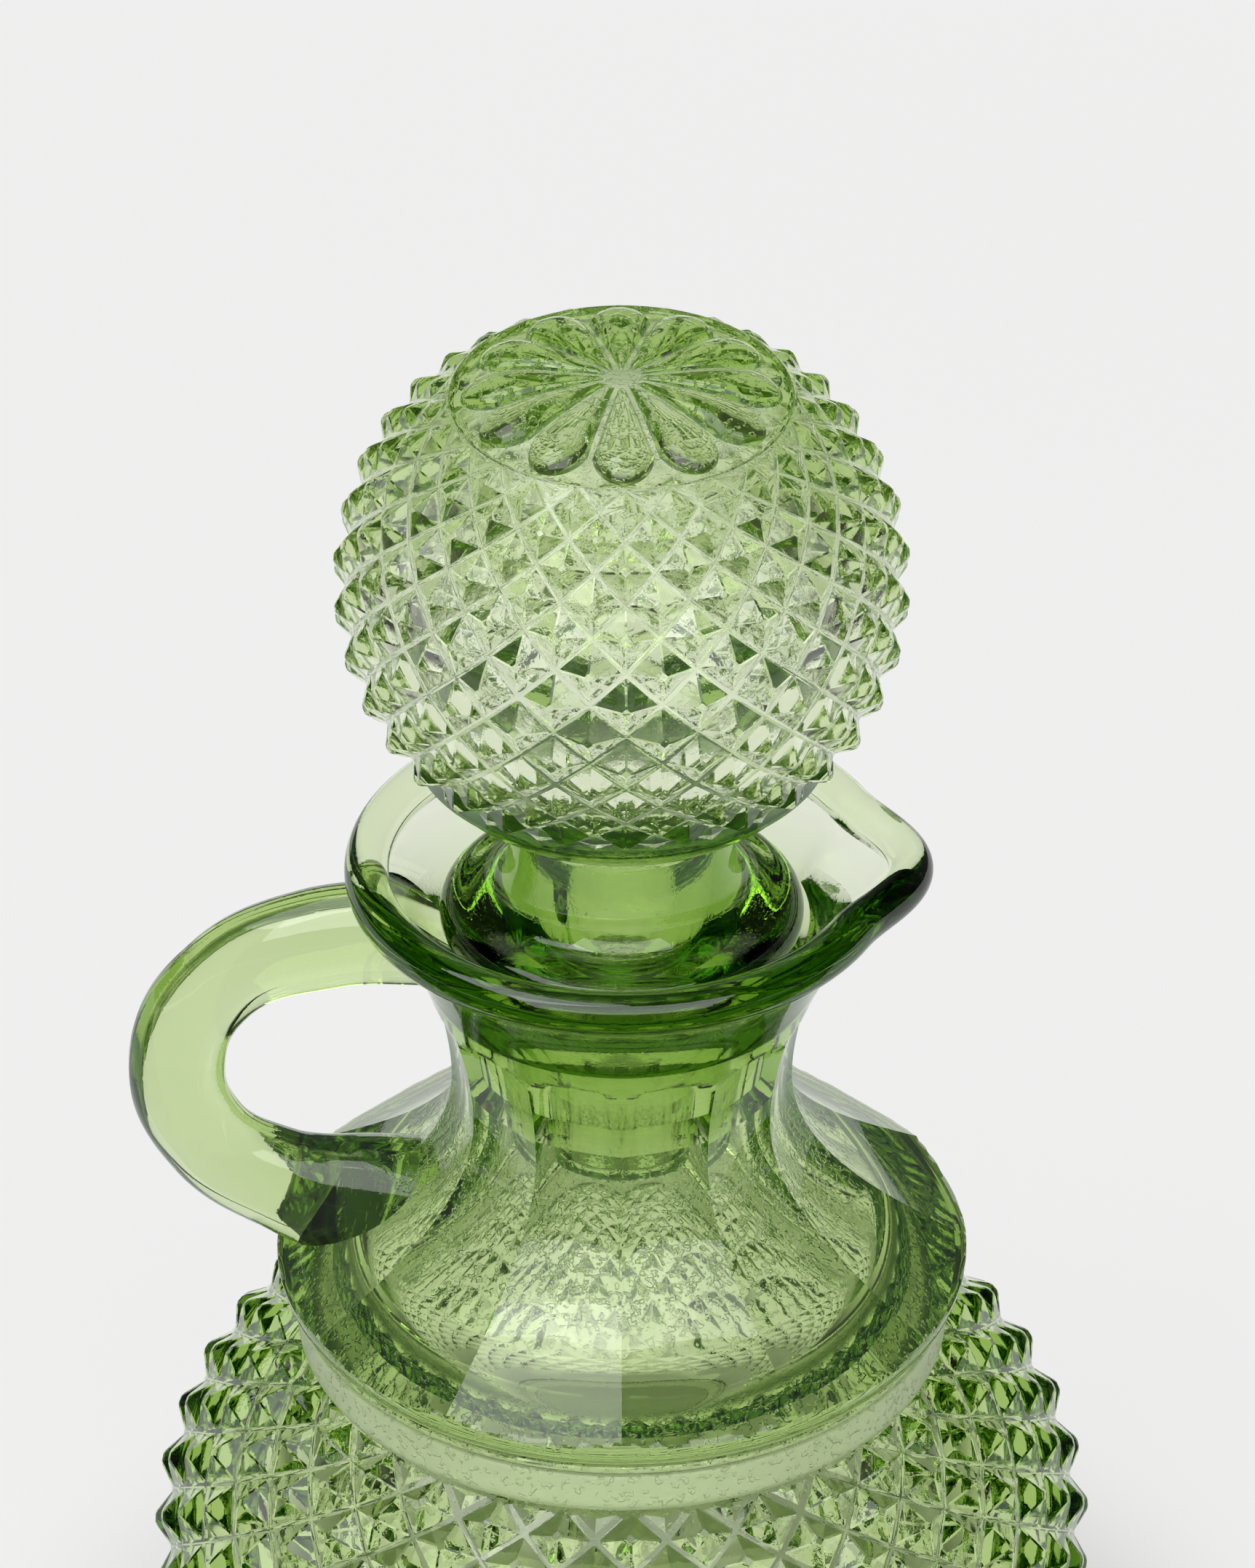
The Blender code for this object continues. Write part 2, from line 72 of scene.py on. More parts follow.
# How far the crown's peel starts below its ring
CROWN_MARGIN = 0.5 * MM
# Pieces of a tile's outer edge along each belt
BODY_EDGE_STEPS = 8
BALL_EDGE_STEPS = 16

# Each lamp's place, width, height and power in watts, and whether the glass shows it
LAMPS = {
    "front": ((0.0, -0.85, 1.15), 1.7, 1.0, 16.0, True),
    "key_left": ((-0.43, -0.17, 1.17), 0.75, 0.85, 6.5, True),
    "fill_right": ((1.1, 0.2, 0.7), 0.4, 0.5, 1.4, False),
    "top_back": ((-0.2, 0.9, 1.1), 0.5, 0.5, 1.2, False),
}
LAMP_AIM = (0.0, 0.0, 0.1)
# Brightness of the sheet where it is seen through the glass
SHEET_SEEN_THROUGH = 0.97
# Start and end of what fades, and its value at each: the sheet's own glow near the object and far
# off, the sheet into painted dark shade that only the glass shows past its sides, and the room's
# light toward the back and toward the top
NEAR_GLOW = (0.045, 0.085, 0.2, 0.8)
FAR_GLOW = (0.25, 0.7, 0.0, 0.2)
PAINTED_REFRACTION_FADE = (0.4, 0.7, 0.0, 1.0)
ROOM_BEHIND = (-0.2, 0.8, 0.05, 0.92)
ROOM_ABOVE = (0.4, 0.7, 1.0, 0.1)
# Share of the room's light that is left where it is mirrored
ROOM_MIRRORED = 0.1
# Near-black of the painted dark shade that rays through the glass see past the sheet's sides
PAINTED_REFRACTION_COLOUR = (0.05, 0.05, 0.05, 1.0)
# Near-black of the painted dark reflection: a sheet in front that only the glass's reflections show
PAINTED_REFLECTION_COLOUR = (0.03, 0.03, 0.03, 1.0)
WHITE = (1.0, 1.0, 1.0, 1.0)
FLOOR_HALF_SIZE = 3.0
# Half size and place of that sheet of painted dark reflection, lying on the floor in front
PAINTED_REFLECTION_HALF_SIZE = 1.0
PAINTED_REFLECTION_PLACE = (0.0, -1.03, 1.0 * MM)


def length(name, description, millimetres):
    """A length property, given in millimetres and kept in metres."""
    return FloatProperty(name=name, description=description, default=millimetres * MM,
                         unit="LENGTH", precision=5)


def angle(name, description, degrees):
    """An angle property, given in degrees and kept in radians."""
    return FloatProperty(name=name, description=description, default=math.radians(degrees),
                         subtype="ANGLE")


def count(name, description, number):
    """A property for how many of something there are."""
    return IntProperty(name=name, description=description, default=number, min=1)


def share(name, description, number):
    """A plain number property."""
    return FloatProperty(name=name, description=description, default=number, precision=4)


def colour(name, description, value):
    """A linear colour property."""
    return FloatVectorProperty(name=name, description=description, default=value, size=3,
                               subtype="COLOR", min=0.0, max=1.0)


class BottleSizes(bpy.types.PropertyGroup):
    """Sizes of the bottle's glass."""

    foot_radius: length("Foot radius", "Outer radius of the foot ring", 27.4)
    foot_height: length("Foot height", "Height at which the globe leaves the foot", 7.0)
    foot_waist: length("Foot waist", "How far the foot draws in", 0.8)
    foot_waist_rise: length("Foot waist height", "Height at which the foot is narrowest", 3.9)
    foot_waist_pull: length("Foot waist pull", "Half height over which the waist is upright", 1.0)
    foot_ring_width: length("Foot ring width", "Width of the ring that the bottle stands on", 5.5)
    foot_edge: length("Foot edge", "Rounding of the foot's outer edge", 1.2)
    foot_recess: length("Foot recess", "Depth of the hollow under the foot", 1.6)
    body_radius: length("Body radius", "Radius of the globe without its points", 48.1)
    body_half_height: length("Body half height", "Half height of the globe without points", 36.0)
    body_wall: length("Body wall", "Thickness of the globe's wall", 4.6)
    columns: count("Columns", "Diamonds in a row round the body", 30)
    rows: count("Rows", "Half rows of diamonds up the body", 16)
    belt_middle: angle("Belt middle", "Latitude of the belt's middle", 2.5)
    aspect: share("Diamond shape", "Height of a diamond over its width", 1.05)
    point_rise: length("Point rise", "How far a diamond's point stands out", 1.6)
    belt_turn: angle("Belt turn", "Turn of the belt about the axis", 1.5)
    chamber_floor: angle("Chamber floor", "Latitude at which the chamber's floor is flat", -58.0)
    chamber_top: angle("Chamber top", "Latitude at which the chamber leaves the globe", 40.0)
    collar_radius: length("Collar radius", "Radius of the band over the diamonds", 34.0)
    collar_height: length("Collar height", "Height of the band over the diamonds", 6.4)
    groove_depth: length("Groove depth", "Depth of the line round the collar", 0.6)
    groove_drop: length("Groove drop", "Distance of that line from the collar's top", 1.0)
    collar_edge: length("Collar edge", "Rounding of the collar's lower edge", 1.0)
    disc_radius: length("Disc radius", "Outer radius of the shoulder disc", 36.0)
    disc_edge: length("Disc edge", "Rounding of the shoulder disc", 4.0)
    neck_radius: length("Neck radius", "Radius of the neck's waist", 17.6)
    neck_rise: length("Neck rise", "Height of the waist above the disc", 21.5)
    flare_spread: length("Flare spread", "Pull of the flare under the lip, outwards", 3.6)
    flare_drop: length("Flare drop", "Pull of the flare under the lip, downwards", 4.6)
    flare_rise: length("Flare rise", "Pull of the waist, upwards", 7.7)
    shoulder_drop: length("Shoulder drop", "Pull of the waist, downwards", 10.0)
    shoulder_slope: angle("Shoulder slope", "Fall of the shoulder at the disc's rim", 32.0)
    shoulder_pull: length("Shoulder pull", "Length over which that fall is straight", 9.0)
    brink: angle("Brink", "Place on the disc's rounded rim where the shoulder ends", 10.0)
    collar_wall: length("Collar wall", "Thickness of the glass at the collar", 7.0)
    shoulder_wall: length("Shoulder wall", "Thickness of the shoulder at its ridges", 5.4)
    ceiling_edge: length("Ceiling edge", "Rounding of the chamber's upper corner", 3.0)
    panels: count("Panels", "Flat panels round the neck", 12)
    arch_top: length("Arch top", "Height of the panels' arches above the waist", 12.0)
    arch_rise: length("Arch rise", "Rise of an arch above its cusps", 2.4)
    panel_fade: length("Panel fade", "Distance over which a panel runs out under its arch", 1.2)
    panel_scoop: share("Panel scoop", "Depth of a panel on the neck, where 1 is flat", 1.5)
    mouth_rise: length("Mouth rise", "Height of the lip above the waist", 25.8)
    lip_radius: length("Lip radius", "Outer radius of the lip", 28.4)
    lip_edge: length("Lip edge", "Radius of the lip's rolled edge", 2.3)
    lip_tuck: length("Lip tuck", "How far the flare starts inside the lip", 0.7)
    lip_crease: length("Lip crease", "Depth of the crease under the lip", 0.2)
    spout_reach: length("Spout reach", "How far the lip is drawn out", 3.5)
    spout_half_angle: angle("Spout half angle", "Half width of the spout", 27.0)
    spout_depth: length("Spout depth", "Height over which the spout runs out", 14.0)
    seat_radius: length("Seat radius", "Radius of the cone that the stopper rests in", 19.3)
    seat_drop: length("Seat drop", "Depth of that cone under the lip", 5.8)
    seat_height: length("Seat height", "Height of that cone", 8.4)
    bore_radius: length("Bore radius", "Radius of the neck's bore", 10.2)
    bore_taper: length("Bore taper", "How much the bore narrows", 0.2)
    bore_length: length("Bore length", "Length of the bore", 8.6)


class HandleSizes(bpy.types.PropertyGroup):
    """Sizes of the loop handle."""

    radius: length("Bar radius", "Radius of the bar in the plane of the loop", 5.0)
    half_width: length("Bar half width", "Half width of the bar across the loop", 4.15)
    end_radius: length("End radius", "Radius of the bar near its ends", 5.65)
    root_radius: length("Root radius", "Radius of the bar where it runs into the shoulder", 8.0)
    reach: length("Reach", "Distance of the loop's outer side from the axis", 51.0)
    sink: length("Sink", "How far the ends run into the bottle", 9.0)
    overlap: length("Overlap", "How far the cut ends stay inside the glass", 0.5)
    top_drop: length("Top drop", "Distance of the bar under the lip", 1.5)
    foot_rise: length("Foot rise", "Height of the lower end above the disc", 6.3)
    foot_slope: length("Foot slope", "Fall of the lower end towards the axis", 1.6)


class StopperSizes(bpy.types.PropertyGroup):
    """Sizes of the stopper's glass."""

    seat_gap: length("Seat gap", "Gap between the stopper and its seat", 0.3)
    plug_gap: length("Plug gap", "Gap between the plug and the bore", 0.35)
    flange_edge: length("Flange edge", "Rounding of the flange", 2.4)
    stem_radius: length("Stem radius", "Radius of the stem", 11.6)
    stem_height: length("Stem height", "Height of the stem from flange to ball", 11.1)
    stem_fillet: length("Stem fillet", "Height of the stem's run into the ball", 1.2)
    flare_height: length("Flare height", "Height of the stem's flare", 6.1)
    flare_drop: length("Flare drop", "Pull of the stem, downwards", 3.7)
    flare_spread: length("Flare spread", "Pull of the flange, inwards", 1.4)
    ball_radius: length("Ball radius", "Radius of the ball without its points", 27.8)
    columns: count("Columns", "Diamonds in a row round the ball", 24)
    rows: count("Rows", "Half rows of diamonds up the ball", 14)
    belt_middle: angle("Belt middle", "Latitude of the belt's middle", 6.0)
    aspect: share("Diamond shape", "Height of a diamond over its width", 0.978)
    point_rise: length("Point rise", "How far a diamond's point stands out", 1.5)
    fade_rows: count("Fade rows", "Rows at the top whose points rise less", 4)
    turn: angle("Turn", "Turn of the stopper in the mouth", 0.94)
    plain_rise: length("Plain rise", "How far the plain zone stands out under the belt", 1.1)
    plain_drop: angle("Plain drop", "Latitude between the belt and the plain zone", 3.0)
    ball_wall: length("Ball wall", "Thickness of the ball's wall", 1.2)
    crown_wall: length("Crown wall", "Thickness of the glass under the rosette", 5.2)
    dome_rise: length("Dome rise", "Height of the dome inside its ring", 2.8)
    petals: count("Petals", "Petals of the rosette", 12)
    petal_rise: length("Petal rise", "Height of a petal", 1.6)
    petal_inner: length("Petal inner end", "Radius at which the petals start", 1.8)
    petal_outer_inset: length("Petal outer inset", "Distance of a petal's end from the ring", 1.2)
    ring_step: length("Ring step", "Depth of the ring's step below the diamonds", 0.7)
    spoke_width: length("Spoke width", "Width of the flat spokes between petals", 0.5)
    plug_length: length("Plug length", "Length of the plug", 17.5)
    plug_taper: length("Plug taper", "How much the plug narrows", 0.43)
    plug_bore: length("Plug bore", "Radius of the hole through the plug", 5.5)
    plug_edge: length("Plug edge", "Rounding of the plug's end", 0.8)


class GlassLook(bpy.types.PropertyGroup):
    """Colour and finish of the glass."""

    tint: colour("Tint", "Colour that the glass lets through", (0.515, 0.71, 0.07))
    density: share("Density", "Strength of that colour, per metre", 108.0)
    ior: share("Refraction", "Index of refraction", 1.52)
    roughness: share("Roughness", "Roughness of fire-polished glass", 0.015)
    grain: share("Grain", "Roughness of glass that shows the mould's tool marks", 0.35)
    frost: share("Frost", "Share of light that such grainy glass scatters", 0.42)
    frost_tint: colour("Frost tint", "Colour of the light that it scatters", (0.9, 1.0, 0.7))
    body_strip_grain: share("Body strip grain", "Grain of strips between the body's diamonds", 0.1)
    ball_strip_grain: share("Ball strip grain", "Grain of strips between the ball's diamonds", 0.2)
    rosette_grain: share("Rosette grain", "Grain of the flats between the petals", 0.3)
    hollow_grain: share("Hollow grain", "Grain of the ball's inside", 0.1)
    ceiling_grain: share("Ceiling grain", "Grain of the shoulder's inside", 0.06)
    shoulder_grain: share("Shoulder grain", "Grain of the shoulder's outside", 0.04)
    wear_scale: share("Wear scale", "Patches of wear in the polish, per metre", 120.0)
    peel_size: length("Peel size", "Size of the mould's orange peel", 0.8)
    peel_depth: length("Peel depth", "Depth of the mould's orange peel", 0.15)
    peel_height: share("Peel height", "Strength of the mould's orange peel", 0.9)
    fleck_start: share("Fleck start", "Level of noise at which a fleck starts", 0.55)
    fleck_full: share("Fleck full", "Level of noise at which a fleck is full", 0.66)
    bottle_peel: share("Bottle peel", "Share of that peel on the bottle's plain glass", 0.02)
    ball_peel: share("Ball peel", "Share of that peel on the ball under its crown", 0.06)
    panel_peel_reach: length("Panel peel reach", "Radius at which the panels' peel ends", 26.0)
    panel_peel_fade: length("Panel peel fade", "Distance over which it runs out there", 7.0)
    neck_peel_fade: length("Neck peel fade", "Distance over which it runs out at the waist", 8.0)
    strip: share("Strip", "Width of the strips between diamonds, as a share of a diamond", 0.10)
    ridge: share("Ridge", "Width of a diamond's ridges, as a share of a diamond", 0.035)


class StageLook(bpy.types.PropertyGroup):
    """Camera, floor and light."""

    elevation: angle("Elevation", "Height of the camera above the horizon", 33.9)
    distance: FloatProperty(name="Distance", description="Distance of the camera from its aim",
                            default=1.222, unit="LENGTH")
    aim: length("Aim", "Height that the camera looks at", 131.1)
    aside: length("Aside", "Place of the camera along X", 0.59)
    lens: share("Lens", "Focal length in millimetres", 275.5)
    paper: colour("Paper", "Colour of the floor and the background", (0.895, 0.895, 0.892))


def globe(radius, half_height, centre_z, latitude):
    """Point of a globe's outline at a latitude."""
    return (radius * math.cos(latitude), centre_z + half_height * math.sin(latitude))


def evenly(start, end, steps):
    """Numbers at even steps from a start to an end, with both."""
    return [start + (end - start) * step / steps for step in range(steps + 1)]


def arc(centre, radius, start, end, steps):
    """Points of an arc in the profile plane, angles in degrees from +X."""
    turns = [math.radians(turn) for turn in evenly(start, end, steps)]
    return [(centre[0] + radius * math.cos(turn), centre[1] + radius * math.sin(turn))
            for turn in turns]


def sweep(start, leave, arrive, end, steps):
    """Points of a Bezier stretch of profile between two points."""
    knots = [Vector((r, z, 0.0)) for r, z in (start, leave, arrive, end)]
    return [(point.x, point.y) for point in interpolate_bezier(*knots, steps + 1)]


def line(start, end, steps):
    """Points of a straight stretch of profile, without its last point."""
    points = zip(evenly(start[0], end[0], steps), evenly(start[1], end[1], steps))
    return list(points)[:-1]


def smoothstep(value):
    """A number that eases from 0 to 1 while a value goes from 0 to 1."""
    value = min(max(value, 0.0), 1.0)
    return value * value * (3.0 - 2.0 * value)


def belt_latitude(sizes, row):
    """Latitude of a row of a diamond belt, counted from its top edge."""
    step = sizes.aspect * math.pi / sizes.columns
    return sizes.belt_middle + math.atan(math.sinh((sizes.rows / 2 - row) * step))


def bottle_form(vessel):
    """Heights and radii of the bottle that follow from its sizes."""
    levels = SimpleNamespace()
    foot_share = vessel.foot_radius / vessel.body_radius
    half_height = vessel.body_half_height
    levels.centre_z = vessel.foot_height + half_height * math.sqrt(1.0 - foot_share ** 2)
    levels.belt_top, levels.belt_foot = [
        globe(vessel.body_radius, half_height, levels.centre_z, belt_latitude(vessel, row))
        for row in (0, vessel.rows)]
    levels.collar_foot_z = levels.belt_top[1]
    levels.collar_top_z = levels.collar_foot_z + vessel.collar_height
    levels.disc_z = levels.collar_top_z + vessel.disc_edge
    levels.disc_ring = vessel.disc_radius - vessel.disc_edge
    levels.brink = (levels.disc_ring + vessel.disc_edge * math.cos(vessel.brink),
                    levels.disc_z + vessel.disc_edge * math.sin(vessel.brink))
    levels.neck_z = levels.disc_z + vessel.neck_rise
    levels.lip_z = levels.neck_z + vessel.mouth_rise
    levels.lip_ring = vessel.lip_radius - vessel.lip_edge
    levels.seat_z = levels.lip_z - vessel.seat_drop
    levels.bore_top_z = levels.seat_z - vessel.seat_height
    levels.bore_foot_z = levels.bore_top_z - vessel.bore_length
    return levels


def shoulder_curve(vessel, levels):
    """Line of a shoulder ridge, from the neck's waist out to the brink of the disc."""
    arrive = (levels.brink[0] - vessel.shoulder_pull * math.cos(vessel.shoulder_slope),
              levels.brink[1] + vessel.shoulder_pull * math.sin(vessel.shoulder_slope))
    leave = (vessel.neck_radius, levels.neck_z - vessel.shoulder_drop)
    return sweep((vessel.neck_radius, levels.neck_z), leave, arrive, levels.brink, steps=40)


def set_in(points, depth):
    """A line of profile that runs out and down, moved inwards by a depth."""
    moved = []
    for index, (r, z) in enumerate(points):
        before = points[max(index - 1, 0)]
        after = points[min(index + 1, len(points) - 1)]
        run = after[0] - before[0]
        fall = before[1] - after[1]
        reach = math.hypot(run, fall)
        moved.append((r - depth * fall / reach, z - depth * run / reach))
    return moved


def bottle_inside(vessel, levels):
    """Inside of the bottle, from the middle of its floor up to the crest of the lip."""
    radius = vessel.body_radius - vessel.body_wall
    half_height = vessel.body_half_height - vessel.body_wall
    chamber = [globe(radius, half_height, levels.centre_z, latitude)
               for latitude in evenly(vessel.chamber_floor, vessel.chamber_top, steps=28)]
    collar = (vessel.collar_radius - vessel.collar_wall,
              levels.collar_foot_z + 0.5 * vessel.collar_height)
    below = set_in(shoulder_curve(vessel, levels), vessel.shoulder_wall)
    ceiling = [point for point in reversed(below) if point[0] < collar[0] - vessel.ceiling_edge]
    leave = (collar[0], ceiling[0][1] - vessel.ceiling_edge)
    arrive = (ceiling[0][0] + vessel.ceiling_edge * math.cos(vessel.shoulder_slope),
              ceiling[0][1] - vessel.ceiling_edge * math.sin(vessel.shoulder_slope))
    corner = sweep(collar, leave, arrive, ceiling[0], steps=12)
    bore_foot = (vessel.bore_radius - vessel.bore_taper, levels.bore_foot_z)
    throat = line(ceiling[-1], bore_foot, steps=4)
    shoulder = corner[:-1] + ceiling[:-1] + throat
    floor = line((0.0, chamber[0][1]), chamber[0], steps=5)
    bore = line(bore_foot, (vessel.bore_radius, levels.bore_top_z), steps=4)
    seat = (vessel.seat_radius, levels.seat_z)
    cone = line((vessel.bore_radius, levels.bore_top_z), seat, steps=4)
    rim = arc((levels.lip_ring, levels.lip_z), vessel.lip_edge, 200, 90, steps=16)
    funnel = line(seat, rim[0], steps=4)
    return floor + chamber + shoulder + bore + cone + funnel + rim


def bottle_outside(vessel, levels):
    """Outside of the bottle, from the crest of the lip down to the top of the diamond belt."""
    lip = arc((levels.lip_ring, levels.lip_z), vessel.lip_edge, 90, -80, steps=22)
    throat = (levels.lip_ring - vessel.lip_tuck,
              levels.lip_z - vessel.lip_edge - vessel.lip_crease)
    waist = (vessel.neck_radius, levels.neck_z)
    neck = sweep(throat, (throat[0] - vessel.flare_spread, throat[1] - vessel.flare_drop),
                 (vessel.neck_radius, levels.neck_z + vessel.flare_rise), waist, steps=48)
    shoulder = shoulder_curve(vessel, levels)
    brink_turn = math.degrees(vessel.brink)
    disc = arc((levels.disc_ring, levels.disc_z), vessel.disc_edge, brink_turn, -60, steps=16)
    groove_z = levels.collar_top_z - vessel.groove_drop
    bead = vessel.groove_depth
    ledge = arc((vessel.collar_radius - bead, groove_z + bead), bead, 90, -20, steps=5)
    groove = [(vessel.collar_radius - bead, groove_z)]
    band_top = arc((vessel.collar_radius - bead, groove_z - bead), bead, 45, 0, steps=3)
    band_end = (vessel.collar_radius, levels.collar_foot_z + 2.0 * vessel.collar_edge)
    band = line(band_top[-1], band_end, steps=4)
    leave = (vessel.collar_radius, levels.collar_foot_z + vessel.collar_edge)
    arrive = (vessel.collar_radius - 0.5 * vessel.collar_edge,
              levels.collar_foot_z + 0.6 * vessel.collar_edge)
    band_foot = sweep(band_end, leave, arrive, levels.belt_top, steps=8)
    collar = ledge + groove + band_top[:-1] + band + band_foot
    return lip + neck[:-1] + shoulder[:-1] + disc + collar


def bottle_foot(vessel, levels):
    """Outside of the bottle, from the foot of the diamond belt to the middle of the underside."""
    start = belt_latitude(vessel, vessel.rows)
    end = -math.acos(vessel.foot_radius / vessel.body_radius)
    bowl = [globe(vessel.body_radius, vessel.body_half_height, levels.centre_z, latitude)
            for latitude in evenly(start, end, steps=5)]
    rounding = vessel.foot_edge
    edge = arc((vessel.foot_radius - rounding, rounding), rounding, 10, -90, steps=9)
    narrow = vessel.foot_radius - vessel.foot_waist
    waist = sweep(bowl[-1], (narrow, vessel.foot_waist_rise + vessel.foot_waist_pull),
                  (narrow, vessel.foot_waist_rise - vessel.foot_waist_pull), edge[0], steps=8)
    inner = vessel.foot_radius - vessel.foot_ring_width
    recess = (inner - vessel.foot_recess, vessel.foot_recess)
    middle = (0.0, vessel.foot_recess)
    underside = line((inner, 0.0), recess, steps=3) + line(recess, middle, steps=8) + [middle]
    return bowl + waist[1:-1] + edge + underside


def panel_shape(vessel, levels):
    """Rule that flattens the neck and the shoulder into panels with sharp ridges."""
    half_panel = math.pi / vessel.panels
    arch_top = levels.neck_z + vessel.arch_top

    def shape(r, z, azimuth):
        if z < levels.collar_top_z or z > arch_top:
            return r, z
        off_middle = (azimuth % (2 * half_panel)) - half_panel
        flat = math.cos(half_panel) / math.cos(off_middle)
        if z < levels.brink[1]:
            panel = levels.brink[0] + (levels.brink[1] - z) / math.tan(vessel.shoulder_slope)
            return min(r, panel * flat), z
        bow = math.sqrt(max(0.0, 1.0 - (off_middle / half_panel) ** 2))
        arch = arch_top - vessel.arch_rise * (1.0 - bow)
        depth = smoothstep((arch - z) / vessel.panel_fade)
        climb = smoothstep((z - levels.disc_z) / vessel.neck_rise)
        scoop = 1.0 + (vessel.panel_scoop - 1.0) * climb
        return r * (1.0 - scoop * depth * (1.0 - flat)), z

    return shape


def stopper_form(sizes, vessel, levels):
    """Heights and radii of the stopper that follow from its sizes and from its seat."""
    ball = SimpleNamespace()
    run = vessel.seat_radius - vessel.bore_radius
    slope = vessel.seat_height / run
    cone_rise = sizes.seat_gap * math.hypot(vessel.seat_height, run) / run
    ring = vessel.seat_radius - 2.0 * sizes.seat_gap - sizes.flange_edge
    cone_angle = -math.degrees(math.atan2(1.0, slope))
    tilt = math.radians(cone_angle)
    inset = vessel.seat_radius - ring - sizes.flange_edge * math.cos(tilt)
    rim_foot_z = levels.seat_z + cone_rise - slope * inset
    centre = (ring, rim_foot_z - sizes.flange_edge * math.sin(tilt))
    ball.flange = arc(centre, sizes.flange_edge, 90, cone_angle, steps=18)
    ball.plug_top = (vessel.bore_radius - sizes.plug_gap,
                     levels.seat_z + cone_rise - slope * (run + sizes.plug_gap))
    ball.plug_foot = (ball.plug_top[0] - sizes.plug_taper, ball.plug_top[1] - sizes.plug_length)
    ball.plain_radius = sizes.ball_radius + sizes.plain_rise
    ball.stem_foot_z = ball.flange[0][1]
    stem_climb = math.sqrt(ball.plain_radius ** 2 - sizes.stem_radius ** 2)
    ball.centre_z = ball.stem_foot_z + sizes.stem_height + stem_climb
    ball.ring, ball.belt_foot = [
        globe(sizes.ball_radius, sizes.ball_radius, ball.centre_z, belt_latitude(sizes, row))
        for row in (0, sizes.rows)]
    ball.hollow = sizes.ball_radius - sizes.ball_wall
    ball.crown = ball.ring[1] + sizes.dome_rise - sizes.crown_wall - ball.centre_z
    return ball


def stopper_lower(sizes, ball):
    """Outside of the stopper under the belt, round the plug and up inside to the hollow's top."""
    start = belt_latitude(sizes, sizes.rows) - sizes.plain_drop
    end = -math.acos(sizes.stem_radius / ball.plain_radius)
    plain = [globe(ball.plain_radius, ball.plain_radius, ball.centre_z, latitude)
             for latitude in evenly(start, end, steps=12)]
    flare = (sizes.stem_radius, ball.stem_foot_z + sizes.flare_height)
    stem = line((sizes.stem_radius, plain[-1][1] - sizes.stem_fillet), flare, steps=4)
    leave = (sizes.stem_radius, flare[1] - sizes.flare_drop)
    arrive = (sizes.stem_radius + sizes.flare_spread, ball.stem_foot_z)
    foot = sweep(flare, leave, arrive, ball.flange[0], steps=14)
    cone = line(ball.flange[-1], ball.plug_top, steps=4)
    edge = sizes.plug_edge
    edge_z = ball.plug_foot[1] + edge
    plug = line(ball.plug_top, (ball.plug_foot[0], edge_z), steps=6)
    plug_edge = arc((ball.plug_foot[0] - edge, edge_z), edge, 0, -90, steps=6)
    bore_foot = arc((sizes.plug_bore + edge, edge_z), edge, -90, -180, steps=6)
    throat = -math.acos(sizes.plug_bore / ball.hollow)
    inside = []
    for latitude in evenly(throat, 0.5 * math.pi, steps=32):
        height = ball.crown if latitude > 0 else ball.hollow
        inside.append(globe(ball.hollow, height, ball.centre_z, latitude))
    inside[-1] = (0.0, ball.centre_z + ball.crown)
    bore = line(bore_foot[-1], inside[0], steps=10)
    outside = [ball.belt_foot] + plain[:-1] + stem + foot[:-1] + ball.flange[:-1] + cone
    return outside + plug + plug_edge + bore_foot[:-1] + bore + inside


def skinned(name, rows):
    """Smooth surface through rows of places, each a reach, an azimuth and a height."""
    form = bmesh.new()
    grid = []
    for places in rows:
        row = []
        for reach, azimuth, z in places:
            if row and reach == 0.0:
                row.append(row[0])
            else:
                place = (reach * math.sin(azimuth), -reach * math.cos(azimuth), z)
                row.append(form.verts.new(place))
        grid.append(row)
    for upper, lower in zip(grid, grid[1:]):
        for step in range(len(upper) - 1):
            corners = [upper[step], lower[step], lower[step + 1], upper[step + 1]]
            face = form.faces.new(list(dict.fromkeys(corners)))
            face.smooth = True
    return mesh_object(name, form)


def turned_wedge(name, profile, wedges, steps, shape=None):
    """One sector of a turned surface, from a profile that runs down its outer side."""
    rows = []
    for r, z in profile:
        row = []
        for azimuth in evenly(0.0, 2.0 * math.pi / wedges, steps):
            reach, height = shape(r, z, azimuth) if shape else (r, z)
            row.append((reach, azimuth, height))
        rows.append(row)
    return skinned(name, rows)


